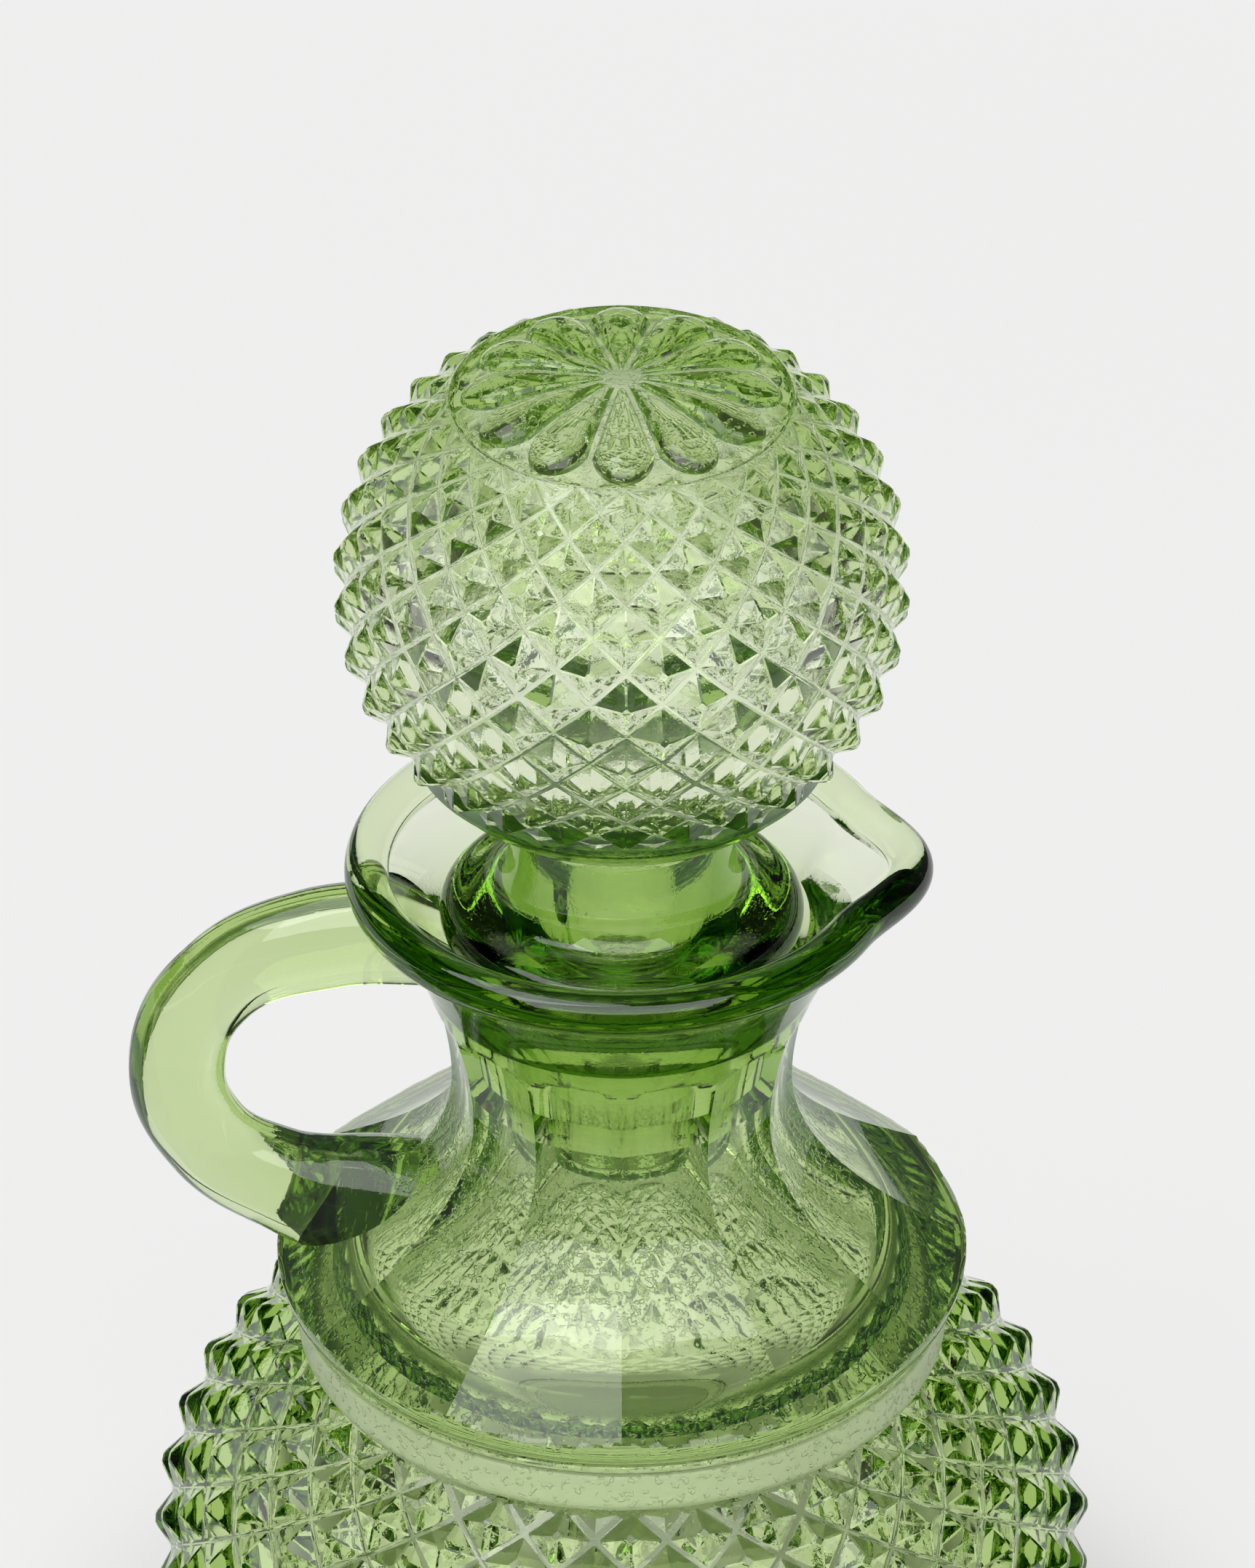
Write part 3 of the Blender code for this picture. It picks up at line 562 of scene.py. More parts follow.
def rosette_wedge(name, sizes, ball, wedges, steps):
    """One petal of the stopper's rosette and half a spoke on each side, from middle to ring."""
    ring_radius, ring_z = ball.ring
    outer = ring_radius - sizes.petal_outer_inset
    half_sector = math.pi / wedges
    half_spoke = 0.5 * sizes.spoke_width
    end_radius = (outer * math.sin(half_sector) - half_spoke) / (1.0 + math.sin(half_sector))
    end_middle = outer - end_radius
    # A petal's least half angle, the length over which it rises, and its share of height before that
    narrowest = 0.06 * half_sector
    ramp = 0.9 * (end_middle - sizes.petal_inner)
    tip_share = 0.25

    def half_angle(r):
        side = half_sector - half_spoke / max(r, sizes.petal_inner)
        if r > end_middle:
            chord = math.sqrt(max(0.0, end_radius ** 2 - (r - end_middle) ** 2))
            side = min(side, math.atan2(chord, r))
        return max(side, narrowest)

    def dome(r):
        level = ring_z + sizes.dome_rise * (1.0 - (r / ring_radius) ** 2)
        past = max(0.0, r - ring_radius + sizes.ring_step) / sizes.ring_step
        return level - sizes.ring_step * math.sqrt(max(0.0, 1.0 - past * past))

    def petal_height(r, across):
        if not sizes.petal_inner < r < outer:
            return 0.0
        along = tip_share + (1.0 - tip_share) * smoothstep((r - sizes.petal_inner) / ramp)
        fall = math.sqrt(max(0.0, 1.0 - (max(0.0, r - end_middle) / end_radius) ** 2))
        round_side = math.sqrt(max(0.0, 1.0 - across * across))
        return sizes.petal_rise * along * fall * round_side

    brink = ring_radius - sizes.ring_step
    radii = evenly(0.0, sizes.petal_inner, steps=4)
    radii += evenly(sizes.petal_inner, end_middle, steps=14)[1:]
    radii += [end_middle + end_radius * math.sin(turn)
              for turn in evenly(0.0, 0.5 * math.pi, steps=12)[1:]]
    radii += evenly(outer, brink, steps=4)[1:] + evenly(brink, ring_radius, steps=4)[1:]
    # Three quarters of the columns lie on the petal, and the rest on the spokes beside it
    petal_steps = int(0.75 * steps)
    side_steps = (steps - petal_steps) // 2
    rows = []
    for r in radii:
        side = half_angle(r)
        blend = smoothstep((r - outer) / (brink - outer))
        row = []
        for step, even in enumerate(evenly(-half_sector, half_sector, steps)):
            if step < side_steps:
                warped = -half_sector + (half_sector - side) * step / side_steps
            elif step > steps - side_steps:
                warped = half_sector - (half_sector - side) * (steps - step) / side_steps
            else:
                warped = side * (2.0 * (step - side_steps) / petal_steps - 1.0)
            azimuth = warped + (even - warped) * blend
            across = min(1.0, abs(azimuth) / side)
            row.append((r, azimuth, dome(r) + petal_height(r, across)))
        rows.append(row)
    return skinned(name, rows)


def diamond_tile(name, strip, ridge):
    """One pressed diamond on a flat lattice: a strip round a four-sided point with ridges."""
    form = bmesh.new()

    def ring(size, chamfer, height):
        long = size - chamfer
        corners = ((long, chamfer), (chamfer, long), (-chamfer, long), (-long, chamfer),
                   (-long, -chamfer), (-chamfer, -long), (chamfer, -long), (long, -chamfer))
        return [form.verts.new((x, y, height)) for x, y in corners]

    ends = [form.verts.new(place) for place in ((1, 0, 0), (0, 1, 0), (-1, 0, 0), (0, -1, 0))]
    # Size, cut of the corners and height of the strip's inner edge and of the point's three rings
    base = ring(1.0 - strip, ridge, 0.0)
    foot = ring(1.0 - 1.5 * strip, ridge, 0.05)
    brow = ring(0.26, ridge, 0.78)
    top = ring(0.13, 0.5 * ridge, 0.89)
    for side in range(4):
        form.faces.new((ends[side], base[2 * side], base[2 * side - 1]))
    for side in range(4):
        form.faces.new((ends[side], ends[(side + 1) % 4], base[2 * side + 1], base[2 * side]))
    for low, high in ((base, foot), (foot, brow), (brow, top)):
        for here in range(8):
            after = (here + 1) % 8
            form.faces.new((low[here], low[after], high[after], high[here]))
    form.faces.new(top)
    return mesh_object(name, form)


def half_tile(name, strip, edge_steps, side):
    """Half a diamond that ends at the belt's edge, with a low three-sided point."""
    form = bmesh.new()
    edge = [form.verts.new((x, 0.0, 0.0)) for x in evenly(-1.0, 1.0, edge_steps)]
    tip = form.verts.new((0.0, side, 0.0))
    # The strip round the point is wider at its corners, and the point leans to the belt's edge
    inset = 1.6 * strip
    left = form.verts.new((-1.0 + 2.4 * inset, side * inset, 0.0))
    right = form.verts.new((1.0 - 2.4 * inset, side * inset, 0.0))
    low = form.verts.new((0.0, side * (1.0 - 1.4 * inset), 0.0))
    point = form.verts.new((0.0, side * 0.34, 0.55))
    form.faces.new(edge + [right, left])
    form.faces.new((edge[-1], tip, low, right))
    form.faces.new((tip, edge[0], left, low))
    form.faces.new((left, right, point))
    form.faces.new((right, low, point))
    form.faces.new((low, left, point))
    return mesh_object(name, form)


def mesh_object(name, form):
    """New object in the scene from a bmesh, which is freed."""
    mesh = bpy.data.meshes.new(name)
    form.to_mesh(mesh)
    form.free()
    obj = bpy.data.objects.new(name, mesh)
    bpy.context.scene.collection.objects.link(obj)
    return obj


class NodeSketch:
    """Short ways to add nodes to a tree and join them."""

    def __init__(self, tree):
        self.tree = tree

    def node(self, kind, inputs=None, **settings):
        """Add a node with its settings, and feed the inputs that are named."""
        made = self.tree.nodes.new(kind)
        for key, value in settings.items():
            setattr(made, key, value)
        for key, value in (inputs or {}).items():
            self.feed(made.inputs[key], value)
        return made

    def feed(self, socket, value):
        """Join an input to another node's output, or set its value."""
        if isinstance(value, bpy.types.NodeSocket):
            self.tree.links.new(value, socket)
        else:
            socket.default_value = value

    def math(self, operation, *operands):
        """Output of a calculation on one to three numbers."""
        made = self.node("ShaderNodeMath", dict(enumerate(operands)), operation=operation)
        return made.outputs[0]

    def vector(self, x, y, z):
        """Output of a vector made of three numbers."""
        return self.node("ShaderNodeCombineXYZ", {"X": x, "Y": y, "Z": z}).outputs[0]

    def split(self, vector):
        """Outputs of a vector's three numbers."""
        return self.node("ShaderNodeSeparateXYZ", {"Vector": vector}).outputs

    def fade(self, value, start, end, first=0.0, last=1.0):
        """Output that eases from first to last while a value goes from start to end."""
        ends = {"Value": value, "From Min": start, "From Max": end,
                "To Min": first, "To Max": last}
        return self.node("ShaderNodeMapRange", ends, interpolation_type="SMOOTHSTEP").outputs[0]

    def mix(self, amount, first, second):
        """Output of a blend of two shaders."""
        return self.node("ShaderNodeMixShader", {0: amount, 1: first, 2: second}).outputs[0]


def own_tree(owner):
    """Sketch of a material's or a world's own node tree, emptied."""
    owner.use_nodes = True
    owner.node_tree.nodes.clear()
    return NodeSketch(owner.node_tree)


def new_geometry_tree(name, inputs):
    """Geometry node tree with named inputs and a geometry in and out."""
    tree = bpy.data.node_groups.new(name, "GeometryNodeTree")
    tree.interface.new_socket("Geometry", in_out="OUTPUT", socket_type="NodeSocketGeometry")
    for label, kind in {"Geometry": "Geometry", **inputs, "Material": "Material"}.items():
        tree.interface.new_socket(label, in_out="INPUT", socket_type="NodeSocket" + kind)
    sketch = NodeSketch(tree)
    return sketch, sketch.node("NodeGroupInput").outputs


def finish_tree(sketch, geometry, group):
    """Weld and paint what a tree has made, and return the tree."""
    merge = sketch.node("GeometryNodeMergeByDistance", {"Geometry": geometry, "Distance": WELD})
    paint = sketch.node("GeometryNodeSetMaterial",
                        {"Geometry": merge.outputs[0], "Material": group["Material"]})
    sketch.node("NodeGroupOutput", {0: paint.outputs[0]})
    return sketch.tree


def repeated(sketch, geometry, points, **turn):
    """Output of real copies of a geometry on points, turned or scaled."""
    inputs = {"Points": points.outputs[0], "Instance": geometry, **turn}
    copies = sketch.node("GeometryNodeInstanceOnPoints", inputs)
    return sketch.node("GeometryNodeRealizeInstances", {"Geometry": copies.outputs[0]}).outputs[0]


def ring_tree():
    """Tree that repeats a wedge round the axis."""
    sketch, group = new_geometry_tree("Ring of wedges", {"Count": "Int"})
    points = sketch.node("GeometryNodePoints", {"Count": group["Count"]})
    index = sketch.node("GeometryNodeInputIndex").outputs[0]
    turn = sketch.math("DIVIDE", sketch.math("MULTIPLY", index, 2.0 * math.pi), group["Count"])
    rotation = sketch.node("FunctionNodeEulerToRotation", {0: sketch.vector(0.0, 0.0, turn)})
    ring = repeated(sketch, group["Geometry"], points, Rotation=rotation.outputs[0])
    return finish_tree(sketch, ring, group)


def belt_tree():
    """Tree that lays tiles on a staggered lattice and wraps the lattice round a globe."""
    inputs = {"Columns": "Int", "Rows": "Int", "First row": "Int", "Last row": "Int"}
    for label in ("Aspect", "Middle", "Turn", "Radius", "Half height", "Centre height",
                  "Point rise", "Fade rows"):
        inputs[label] = "Float"
    sketch, group = new_geometry_tree("Diamond belt", inputs)
    math_of = sketch.math
    columns = group["Columns"]
    first = group["First row"]
    row_count = math_of("ADD", math_of("SUBTRACT", group["Last row"], first), 1.0)
    index = sketch.node("GeometryNodeInputIndex").outputs[0]
    turns = math_of("FLOOR", math_of("DIVIDE", math_of("ADD", index, 0.5), columns))
    row = math_of("ADD", first, turns)
    stagger = math_of("FLOORED_MODULO", math_of("ADD", row, 1.0), 2.0)
    place_in_row = math_of("FLOORED_MODULO", index, columns)
    column = math_of("ADD", math_of("MULTIPLY", place_in_row, 2.0), stagger)
    points = sketch.node("GeometryNodePoints", {"Count": math_of("MULTIPLY", columns, row_count),
                                                "Position": sketch.vector(column, row, 0.0)})
    fade = sketch.fade(row, -1.0, group["Fade rows"])
    rise = math_of("MULTIPLY", fade, group["Point rise"])
    lattice = repeated(sketch, group["Geometry"], points, Scale=sketch.vector(1.0, 1.0, rise))
    across, down, height = sketch.split(sketch.node("GeometryNodeInputPosition").outputs[0])
    half_column = math_of("DIVIDE", math.pi, columns)
    azimuth = math_of("ADD", math_of("MULTIPLY", across, half_column), group["Turn"])
    climb = math_of("SUBTRACT", math_of("DIVIDE", group["Rows"], 2.0), down)
    stretch = math_of("MULTIPLY", math_of("MULTIPLY", climb, group["Aspect"]), half_column)
    latitude = math_of("ADD", group["Middle"], math_of("ARCTANGENT", math_of("SINH", stretch)))
    level = math_of("COSINE", latitude)
    upward = math_of("SINE", latitude)
    lean_out = math_of("DIVIDE", level, group["Radius"])
    lean_up = math_of("DIVIDE", upward, group["Half height"])
    lean = math_of("SQRT", math_of("ADD", math_of("MULTIPLY", lean_out, lean_out),
                                   math_of("MULTIPLY", lean_up, lean_up)))
    push = math_of("DIVIDE", height, lean)
    reach = math_of("ADD", math_of("MULTIPLY", group["Radius"], level),
                    math_of("MULTIPLY", push, lean_out))
    rise_z = math_of("ADD", math_of("MULTIPLY", group["Half height"], upward),
                     math_of("MULTIPLY", push, lean_up))
    toward = math_of("MULTIPLY", math_of("MULTIPLY", reach, math_of("COSINE", azimuth)), -1.0)
    place = sketch.vector(math_of("MULTIPLY", reach, math_of("SINE", azimuth)), toward,
                          math_of("ADD", group["Centre height"], rise_z))
    wrap = sketch.node("GeometryNodeSetPosition", {"Geometry": lattice, "Position": place})
    return finish_tree(sketch, wrap.outputs[0], group)


def grown(obj, tree, **inputs):
    """Plain mesh that a tree makes of an object's mesh. The object is removed."""
    modifier = obj.modifiers.new("Grow", "NODES")
    modifier.node_group = tree
    sockets = {item.name: item.identifier for item in tree.interface.items_tree
               if item.in_out == "INPUT"}
    for key, value in inputs.items():
        modifier[sockets[key.replace("_", " ").capitalize()]] = value
    mesh = evaluated_mesh(obj)
    discard(obj)
    return mesh


def evaluated_mesh(obj):
    """Plain mesh of an object with its modifiers applied."""
    obj.update_tag()
    bpy.context.view_layer.update()
    graph = bpy.context.evaluated_depsgraph_get()
    return bpy.data.meshes.new_from_object(obj.evaluated_get(graph))


def discard(obj):
    """Remove an object and its mesh or curve."""
    data = obj.data
    bpy.data.objects.remove(obj)
    if isinstance(data, bpy.types.Mesh):
        bpy.data.meshes.remove(data)
    else:
        bpy.data.curves.remove(data)


def weld(name, meshes):
    """One closed object from meshes that share their edges."""
    form = bmesh.new()
    for mesh in meshes:
        form.from_mesh(mesh)
        bpy.data.meshes.remove(mesh)
    bmesh.ops.remove_doubles(form, verts=form.verts, dist=WELD)
    bmesh.ops.recalc_face_normals(form, faces=form.faces)
    loose = [edge for edge in form.edges if not edge.is_manifold]
    if loose:
        middle = loose[0].verts[0].co
        raise RuntimeError(f"{name} isn't closed: {len(loose)} open edges, one at {middle[:]}")
    return mesh_object(name, form)


def belt_meshes(sizes, look, edge_steps, material, **globe_sizes):
    """Meshes of a whole diamond belt: its full tiles, and the half tiles at its two edges."""
    tree = bpy.data.node_groups.get("Diamond belt") or belt_tree()
    tiles = [
        (diamond_tile("diamond_tile", look.strip, look.ridge), 1, sizes.rows - 1),
        (half_tile("upper_half_tile", look.strip, edge_steps, 1.0), 0, 0),
        (half_tile("lower_half_tile", look.strip, edge_steps, -1.0), sizes.rows, sizes.rows),
    ]
    return [grown(tile, tree, columns=sizes.columns, rows=sizes.rows, first_row=first,
                  last_row=last, aspect=sizes.aspect, middle=sizes.belt_middle,
                  point_rise=sizes.point_rise, material=material, **globe_sizes)
            for tile, first, last in tiles]


def ring_mesh(wedge, wedges, material):
    """Mesh of a whole ring of wedges."""
    tree = bpy.data.node_groups.get("Ring of wedges") or ring_tree()
    return grown(wedge, tree, count=wedges, material=material)


def handle_route(loop, vessel, levels):
    """Middle line of the handle from inside the neck to inside the shoulder, with its radius."""
    outer_x = -(loop.reach - loop.radius)
    root_x = -(levels.lip_ring - loop.sink)
    top_z = levels.lip_z - vessel.lip_edge - loop.top_drop - loop.radius
    foot_x = -(levels.disc_ring - loop.sink)
    foot_z = levels.disc_z + loop.foot_rise
    # Share of the way out from the neck, share of the way up, and radius of the bar
    stations = (
        (0.00, 1.02, loop.end_radius),
        (0.48, 1.00, loop.end_radius),
        (0.84, 0.84, loop.radius),
        (1.00, 0.52, loop.radius),
        (0.90, 0.23, loop.radius),
        (0.64, 0.06, loop.end_radius),
    )
    route = []
    for out, up, radius in stations:
        route.append((root_x + out * (outer_x - root_x), foot_z + up * (top_z - foot_z), radius))
    route.append((foot_x, foot_z - loop.foot_slope, loop.root_radius))
    return route


def handle_bar(loop, vessel, levels):
    """The handle's bent bar, with its ends cut off just inside the bottle's outside."""
    curve = bpy.data.curves.new("handle_bar", "CURVE")
    curve.dimensions = "3D"
    curve.bevel_depth = loop.radius
    curve.bevel_resolution = 14
    curve.use_fill_caps = True
    curve.resolution_u = 16
    route = handle_route(loop, vessel, levels)
    spline = curve.splines.new("BEZIER")
    spline.bezier_points.add(len(route) - 1)
    for point, (x, z, radius) in zip(spline.bezier_points, route):
        point.co = (x, 0.0, z)
        point.radius = radius / loop.radius
        point.handle_left_type = point.handle_right_type = "AUTO"
    path = bpy.data.objects.new("handle_path", curve)
    bpy.context.scene.collection.objects.link(path)
    mesh = evaluated_mesh(path)
    discard(path)
    form = bmesh.new()
    form.from_mesh(mesh)
    bpy.data.meshes.remove(mesh)
    bmesh.ops.remove_doubles(form, verts=form.verts, dist=WELD)
    bmesh.ops.scale(form, vec=(1.0, loop.half_width / loop.radius, 1.0), verts=form.verts)
    bmesh.ops.recalc_face_normals(form, faces=form.faces)
    for face in form.faces:
        face.smooth = True
    bar = mesh_object("handle_bar", form)
    outside = [(r - loop.overlap, z) for r, z in bottle_outside(vessel, levels)]
    core = [(0.0, outside[0][1])] + outside + [(0.0, outside[-1][1])]
    panels = panel_shape(vessel, levels)
    wedge = turned_wedge("core_wedge", core, vessel.panels, steps=10, shape=panels)
    cutter = weld("core", [ring_mesh(wedge, vessel.panels, None)])
    return cut(bar, cutter, "DIFFERENCE")


def cut(obj, tool, operation):
    """Object after a Boolean with a tool, which is removed."""
    boolean = obj.modifiers.new("Cut", "BOOLEAN")
    boolean.operation = operation
    boolean.solver = "EXACT"
    boolean.object = tool
    mesh = evaluated_mesh(obj)
    obj.modifiers.clear()
    old = obj.data
    obj.data = mesh
    bpy.data.meshes.remove(old)
    discard(tool)
    return obj


def draw_spout(mesh, vessel, levels):
    """Draw the lip and the flare under it out into a spout at +X."""
    foot_z = levels.lip_z - vessel.spout_depth
    for vert in mesh.vertices:
        x, y, z = vert.co
        reach = math.hypot(x, y)
        azimuth = math.atan2(y, x)
        beside = abs(azimuth) > vessel.spout_half_angle
        if beside or reach < vessel.seat_radius + WELD or z < foot_z:
            continue
        side = math.cos(0.5 * math.pi * azimuth / vessel.spout_half_angle) ** 2
        height = smoothstep((z - foot_z) / (levels.lip_z - vessel.lip_edge - foot_z))
        factor = 1.0 + vessel.spout_reach * side * height / reach
        vert.co.x *= factor
        vert.co.y *= factor


def mark(mesh, name, rule):
    """Store a number at each point, from a rule of its reach and height."""
    numbers = mesh.attributes.new(name, "FLOAT", "POINT")
    for vert, number in zip(mesh.vertices, numbers.data):
        number.value = rule(math.hypot(vert.co.x, vert.co.y), vert.co.z)


def on_globe(reach, z, radius, half_height, centre_z):
    """Whether a point lies on a globe's own surface, between its diamonds."""
    return abs(math.hypot(reach / radius, (z - centre_z) / half_height) - 1.0) < GLOBE_TOLERANCE


def glass_material(name, look):
    """Clear green pressed glass with orange peel where the mould leaves it."""
    material = bpy.data.materials.new(name)
    sketch = own_tree(material)
    place = sketch.node("ShaderNodeTexCoord").outputs["Object"]
    noise = {"Vector": place, "Scale": 1.0 / look.peel_size, "Detail": 2.0}
    peel = sketch.node("ShaderNodeTexNoise", noise).outputs[0]
    fleck = sketch.fade(peel, look.fleck_start, look.fleck_full)
    mask = sketch.node("ShaderNodeAttribute", attribute_name="peel").outputs["Fac"]
    strength = sketch.math("MULTIPLY", mask, look.peel_height)
    bump = sketch.node("ShaderNodeBump", {"Height": fleck, "Strength": strength,
                                          "Distance": look.peel_depth})
    grain = sketch.node("ShaderNodeAttribute", attribute_name="grain").outputs["Fac"]
    colours = {"Factor": grain, "A": WHITE, "B": (*look.frost_tint, 1.0)}
    dye = sketch.node("ShaderNodeMix", colours, data_type="RGBA")
    wear = sketch.node("ShaderNodeTexNoise", {"Vector": place, "Scale": look.wear_scale})
    polish = sketch.math("MULTIPLY", wear.outputs[0], 2.0 * look.roughness)
    shader = sketch.node("ShaderNodeBsdfPrincipled", {
        "Metallic": 0.0,
        "IOR": look.ior,
        "Normal": bump.outputs[0],
        "Base Color": dye.outputs["Result"],
        "Roughness": sketch.math("MULTIPLY_ADD", grain, look.grain, polish),
        "Transmission Weight": sketch.math("MULTIPLY_ADD", grain, -look.frost, 1.0),
    })
    depth = sketch.node("ShaderNodeVolumeAbsorption", {"Color": (*look.tint, 1.0),
                                                       "Density": look.density})
    sketch.node("ShaderNodeOutputMaterial", {"Surface": shader.outputs[0],
                                             "Volume": depth.outputs[0]})
    return material


def finish_piece(obj, material, body, slot, *nodes, sharp_rule=None):
    """Give a finished glass piece its material, its sharp edges and its place on the frame."""
    obj.data.materials.clear()
    obj.data.materials.append(material)
    obj.data.set_sharp_from_angle(angle=SHARP_ANGLE)
    for edge in obj.data.edges:
        if sharp_rule and all(sharp_rule(obj.data.vertices[end].co) for end in edge.vertices):
            edge.use_edge_sharp = True
    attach(obj, body)
    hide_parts(*nodes)


class CRUET_OT_bottle(bpy.types.Operator):
    """Build the bottle and its handle as one piece of glass"""

    bl_idname = "cruet.bottle"
    bl_label = "Bottle and Handle"

    def execute(self, context):
        vessel = context.scene.cruet_bottle
        loop = context.scene.cruet_handle
        look = context.scene.cruet_glass
        levels = bottle_form(vessel)
        material = glass_material("bottle_glass", look)
        steps = BODY_EDGE_STEPS * vessel.columns // vessel.panels
        panels = panel_shape(vessel, levels)
        meshes = []
        for name, profile, shape in (("inside_wedge", bottle_inside, None),
                                     ("outside_wedge", bottle_outside, panels),
                                     ("foot_wedge", bottle_foot, None)):
            wedge = turned_wedge(name, profile(vessel, levels), vessel.panels, steps, shape)
            meshes.append(ring_mesh(wedge, vessel.panels, material))
        meshes += belt_meshes(vessel, look, BODY_EDGE_STEPS, material, radius=vessel.body_radius,
                              half_height=vessel.body_half_height, centre_height=levels.centre_z,
                              turn=vessel.belt_turn, fade_rows=1.0)
        bottle = weld("cruet_bottle", meshes)
        draw_spout(bottle.data, vessel, levels)
        bottle = cut(bottle, handle_bar(loop, vessel, levels), "UNION")
        shoulder = shoulder_curve(vessel, levels)

        def on_collar(z):
            above = smoothstep((z - levels.collar_foot_z) / EDGE_FADE)
            return above * smoothstep((levels.collar_top_z - z) / EDGE_FADE)

        def peel_rule(reach, z):
            on_panels = smoothstep((look.panel_peel_reach - reach) / look.panel_peel_fade)
            on_panels *= smoothstep((levels.neck_z - z) / look.neck_peel_fade)
            on_panels *= float(levels.disc_z < z)
            return look.bottle_peel + (1.0 - look.bottle_peel) * max(on_collar(z), on_panels)

        def grain_rule(reach, z):
            if levels.belt_foot[1] < z < levels.belt_top[1]:
                return look.body_strip_grain * on_globe(
                    reach, z, vessel.body_radius, vessel.body_half_height, levels.centre_z)
            if levels.collar_top_z < z < levels.neck_z:
                ridge = max(r for r, level in shoulder if level >= z)
                inside = reach < INSIDE_SHARE * ridge
                return look.ceiling_grain if inside else look.shoulder_grain
            outward = (reach - vessel.collar_radius + COLLAR_DEPTH) / EDGE_FADE
            return on_collar(z) * smoothstep(outward)

        mark(bottle.data, "peel", peel_rule)
        mark(bottle.data, "grain", grain_rule)
        panel_angle = 2.0 * math.pi / vessel.panels

        def on_ridge(place):
            off = math.remainder(math.atan2(place.x, -place.y), panel_angle)
            on_panels = levels.disc_z < place.z < levels.neck_z + vessel.arch_top
            return on_panels and abs(off) < RIDGE_TOLERANCE

        finish_piece(bottle, material, "bottle", "bottle_glass", "bottle", "handle",
                     sharp_rule=on_ridge)
        return {"FINISHED"}


class CRUET_OT_stopper(bpy.types.Operator):
    """Build the hollow ball stopper"""

    bl_idname = "cruet.stopper"
    bl_label = "Stopper"

    def execute(self, context):
        vessel = context.scene.cruet_bottle
        sizes = context.scene.cruet_stopper
        look = context.scene.cruet_glass
        levels = bottle_form(vessel)
        ball = stopper_form(sizes, vessel, levels)
        material = glass_material("stopper_glass", look)
        steps = BALL_EDGE_STEPS * sizes.columns // sizes.petals
        rosette = rosette_wedge("rosette_wedge", sizes, ball, sizes.petals, steps)
        lower = turned_wedge("lower_wedge", stopper_lower(sizes, ball), sizes.petals, steps)
        meshes = [ring_mesh(wedge, sizes.petals, material) for wedge in (rosette, lower)]
        meshes += belt_meshes(sizes, look, BALL_EDGE_STEPS, material, radius=sizes.ball_radius,
                              half_height=sizes.ball_radius, centre_height=ball.centre_z, turn=0.0,
                              fade_rows=float(sizes.fade_rows))
        stopper = weld("cruet_stopper", meshes)
        stopper.data.transform(Matrix.Rotation(sizes.turn, 4, "Z"))
        ring_radius, ring_z = ball.ring

        def peel_rule(reach, z):
            on_crown = smoothstep((z - ring_z + CROWN_MARGIN) / EDGE_FADE)
            return look.ball_peel + (1.0 - look.ball_peel) * on_crown

        def grain_rule(reach, z):
            if ball.belt_foot[1] < z < ring_z:
                if math.hypot(reach, z - ball.centre_z) < ball.hollow + HOLLOW_TOLERANCE:
                    return look.hollow_grain
                return look.ball_strip_grain * on_globe(
                    reach, z, sizes.ball_radius, sizes.ball_radius, ball.centre_z)
            flat = ring_z + sizes.dome_rise * (1.0 - (reach / ring_radius) ** 2) - sizes.ring_step
            return look.rosette_grain if abs(z - flat) < FLAT_TOLERANCE else 0.0

        mark(stopper.data, "peel", peel_rule)
        mark(stopper.data, "grain", grain_rule)
        finish_piece(stopper, material, "stopper", "stopper_glass", "stopper")
        return {"FINISHED"}


def area_light(name, place, width, height, power, shown):
    """Soft rectangular lamp that faces the object, and that the glass shows or doesn't."""
    lamp = bpy.data.lights.new(name, "AREA")
    lamp.shape = "RECTANGLE"
    lamp.size = width
    lamp.size_y = height
    lamp.energy = power
    obj = bpy.data.objects.new(name, lamp)
    obj.visible_glossy = shown
    obj.visible_transmission = shown
    obj.location = place
    obj.rotation_euler = (Vector(LAMP_AIM) - Vector(place)).to_track_quat("-Z", "Y").to_euler()
    bpy.context.scene.collection.objects.link(obj)


def seen_by_eye(sketch):
    """One where a ray comes straight from the camera, or through or off the glass."""
    path = sketch.node("ShaderNodeLightPath")
    seen = sketch.math("MAXIMUM", path.outputs["Is Camera Ray"], path.outputs["Is Glossy Ray"])
    return sketch.math("MAXIMUM", seen, path.outputs["Is Transmission Ray"])


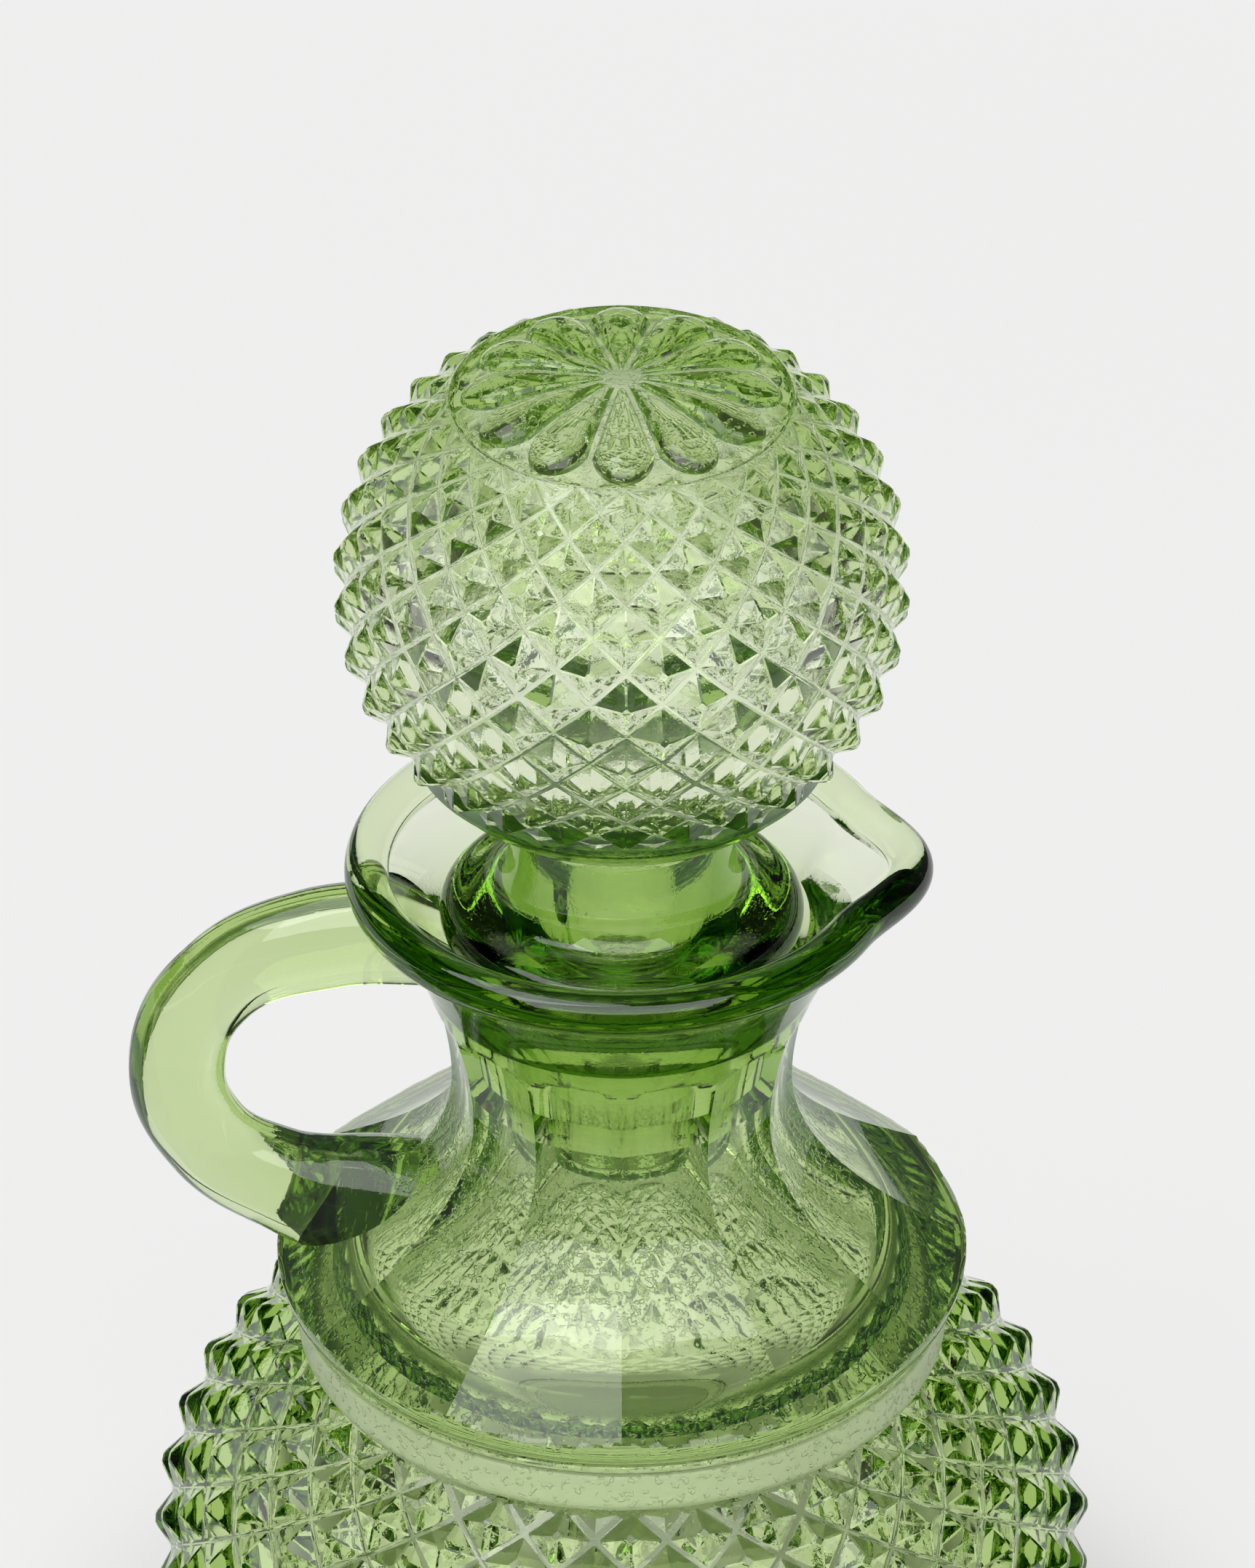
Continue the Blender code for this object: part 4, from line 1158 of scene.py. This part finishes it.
def paper_material(paper):
    """Pale sheet that keeps the object's shadow, and painted shade past its ends in the glass."""
    material = bpy.data.materials.new("paper")
    sketch = own_tree(material)
    ink = (*paper, 1.0)
    through = sketch.node("ShaderNodeLightPath").outputs["Is Transmission Ray"]
    gain = SHEET_SEEN_THROUGH / max(paper) - 1.0
    strength = sketch.math("MULTIPLY_ADD", through, gain, 1.0)
    matt = sketch.node("ShaderNodeBsdfDiffuse", {"Color": ink}).outputs[0]
    glow = sketch.node("ShaderNodeEmission", {"Color": ink, "Strength": strength}).outputs[0]
    across, along, _ = sketch.split(sketch.node("ShaderNodeNewGeometry").outputs["Position"])
    distance = sketch.math("SQRT", sketch.math("ADD", sketch.math("MULTIPLY", across, across),
                                               sketch.math("MULTIPLY", along, along)))
    near = sketch.fade(distance, *NEAR_GLOW)
    lit = sketch.math("ADD", near, sketch.fade(distance, *FAR_GLOW))
    sheet = sketch.mix(sketch.math("MULTIPLY", seen_by_eye(sketch), lit), matt, glow)
    # Painted dark shade: past the sheet's sides, rays through the glass see near-black, not the
    # sheet
    refraction_shade_mask = sketch.fade(sketch.math("ABSOLUTE", across), *PAINTED_REFRACTION_FADE)
    dark_refraction = sketch.node("ShaderNodeBsdfDiffuse", {"Color": PAINTED_REFRACTION_COLOUR}).outputs[0]
    whole = sketch.mix(sketch.math("MULTIPLY", refraction_shade_mask, through), sheet, dark_refraction)
    sketch.node("ShaderNodeOutputMaterial", {"Surface": whole})
    return material


def painted_reflection_material():
    """Painted dark reflection: a matt black surface that only the glass's reflections show."""
    material = bpy.data.materials.new("reflection_shade")
    sketch = own_tree(material)
    matt = sketch.node("ShaderNodeBsdfDiffuse", {"Color": PAINTED_REFLECTION_COLOUR})
    sketch.node("ShaderNodeOutputMaterial", {"Surface": matt.outputs[0]})
    return material


def studio_world(paper):
    """Pale background for the camera, with a room that is bright behind and dim in front."""
    world = bpy.data.worlds.new("studio")
    sketch = own_tree(world)
    _, along, up = sketch.split(sketch.node("ShaderNodeTexCoord").outputs["Generated"])
    level = sketch.math("MULTIPLY", sketch.fade(along, *ROOM_BEHIND), sketch.fade(up, *ROOM_ABOVE))
    path = sketch.node("ShaderNodeLightPath").outputs
    mirrored = sketch.math("MULTIPLY_ADD", path["Is Reflection Ray"], ROOM_MIRRORED - 1.0, 1.0)
    strength = sketch.math("MULTIPLY", level, mirrored)
    room = sketch.node("ShaderNodeBackground", {"Color": WHITE, "Strength": strength}).outputs[0]
    page = sketch.node("ShaderNodeBackground", {"Color": (*paper, 1.0)}).outputs[0]
    whole = sketch.mix(path["Is Camera Ray"], room, page)
    sketch.node("ShaderNodeOutputWorld", {"Surface": whole})
    return world


def square(name, half_size, place, material):
    """Flat square that lies level, as part of the stage."""
    form = bmesh.new()
    bmesh.ops.create_grid(form, x_segments=1, y_segments=1, size=half_size)
    bmesh.ops.translate(form, vec=place, verts=form.verts)
    obj = mesh_object(name, form)
    obj.data.materials.append(material)
    return obj


class CRUET_OT_stage(bpy.types.Operator):
    """Set up the camera, the floor and the lights"""

    bl_idname = "cruet.stage"
    bl_label = "Stage"

    def execute(self, context):
        scene = context.scene
        look = scene.cruet_stage
        lens = bpy.data.cameras.new("camera")
        lens.sensor_fit = "VERTICAL"
        lens.sensor_height = 36.0
        lens.lens = look.lens
        lens.clip_start = 0.05
        camera = bpy.data.objects.new("camera", lens)
        camera.location = (look.aside, -look.distance * math.cos(look.elevation),
                           look.aim + look.distance * math.sin(look.elevation))
        camera.rotation_euler = (0.5 * math.pi - look.elevation, 0.0, 0.0)
        scene.collection.objects.link(camera)
        scene.camera = camera
        floor = square("floor", FLOOR_HALF_SIZE, (0.0, 0.0, 0.0), paper_material(look.paper))
        # Sheet that paints a dark reflection into the glass from the front: nothing but reflections
        # sees it
        reflection_shade = square("painted_reflection_sheet", PAINTED_REFLECTION_HALF_SIZE, PAINTED_REFLECTION_PLACE, painted_reflection_material())
        reflection_shade.visible_camera = False
        reflection_shade.visible_transmission = False
        reflection_shade.visible_diffuse = False
        reflection_shade.visible_shadow = False
        scene.world = studio_world(look.paper)
        for name, (place, width, height, power, shown) in LAMPS.items():
            area_light(name, place, width, height, power, shown)
        scene.view_settings.view_transform = "Standard"
        scene.cycles.max_bounces = 32
        scene.cycles.transmission_bounces = 32
        scene.cycles.glossy_bounces = 12
        return {"FINISHED"}


class CRUET_PT_sidebar(bpy.types.Panel):
    """Sizes and colours of the cruet, and the buttons that build it"""

    bl_idname = "CRUET_PT_sidebar"
    bl_label = "Pressed Glass Cruet"
    bl_space_type = "VIEW_3D"
    bl_region_type = "UI"
    bl_category = "Cruet"

    def draw(self, context):
        layout = self.layout
        for operator in OPERATORS:
            layout.operator(operator.bl_idname)
        for name, group in GROUPS.items():
            column = layout.column(align=True)
            column.label(text=group.__doc__)
            settings = getattr(context.scene, name)
            for key in group.__annotations__:
                column.prop(settings, key)


GROUPS = {
    "cruet_bottle": BottleSizes,
    "cruet_handle": HandleSizes,
    "cruet_stopper": StopperSizes,
    "cruet_glass": GlassLook,
    "cruet_stage": StageLook,
}
OPERATORS = (CRUET_OT_bottle, CRUET_OT_stopper, CRUET_OT_stage)


def register():
    for name, group in GROUPS.items():
        bpy.utils.register_class(group)
        setattr(bpy.types.Scene, name, PointerProperty(type=group))
    for operator in OPERATORS:
        bpy.utils.register_class(operator)
    bpy.utils.register_class(CRUET_PT_sidebar)


def unregister():
    bpy.utils.unregister_class(CRUET_PT_sidebar)
    for operator in reversed(OPERATORS):
        bpy.utils.unregister_class(operator)
    for name, group in reversed(GROUPS.items()):
        delattr(bpy.types.Scene, name)
        bpy.utils.unregister_class(group)


def main():
    register()
    bpy.ops.cruet.bottle()
    bpy.ops.cruet.stopper()
    bpy.ops.cruet.stage()


if __name__ == "__main__":
    main()
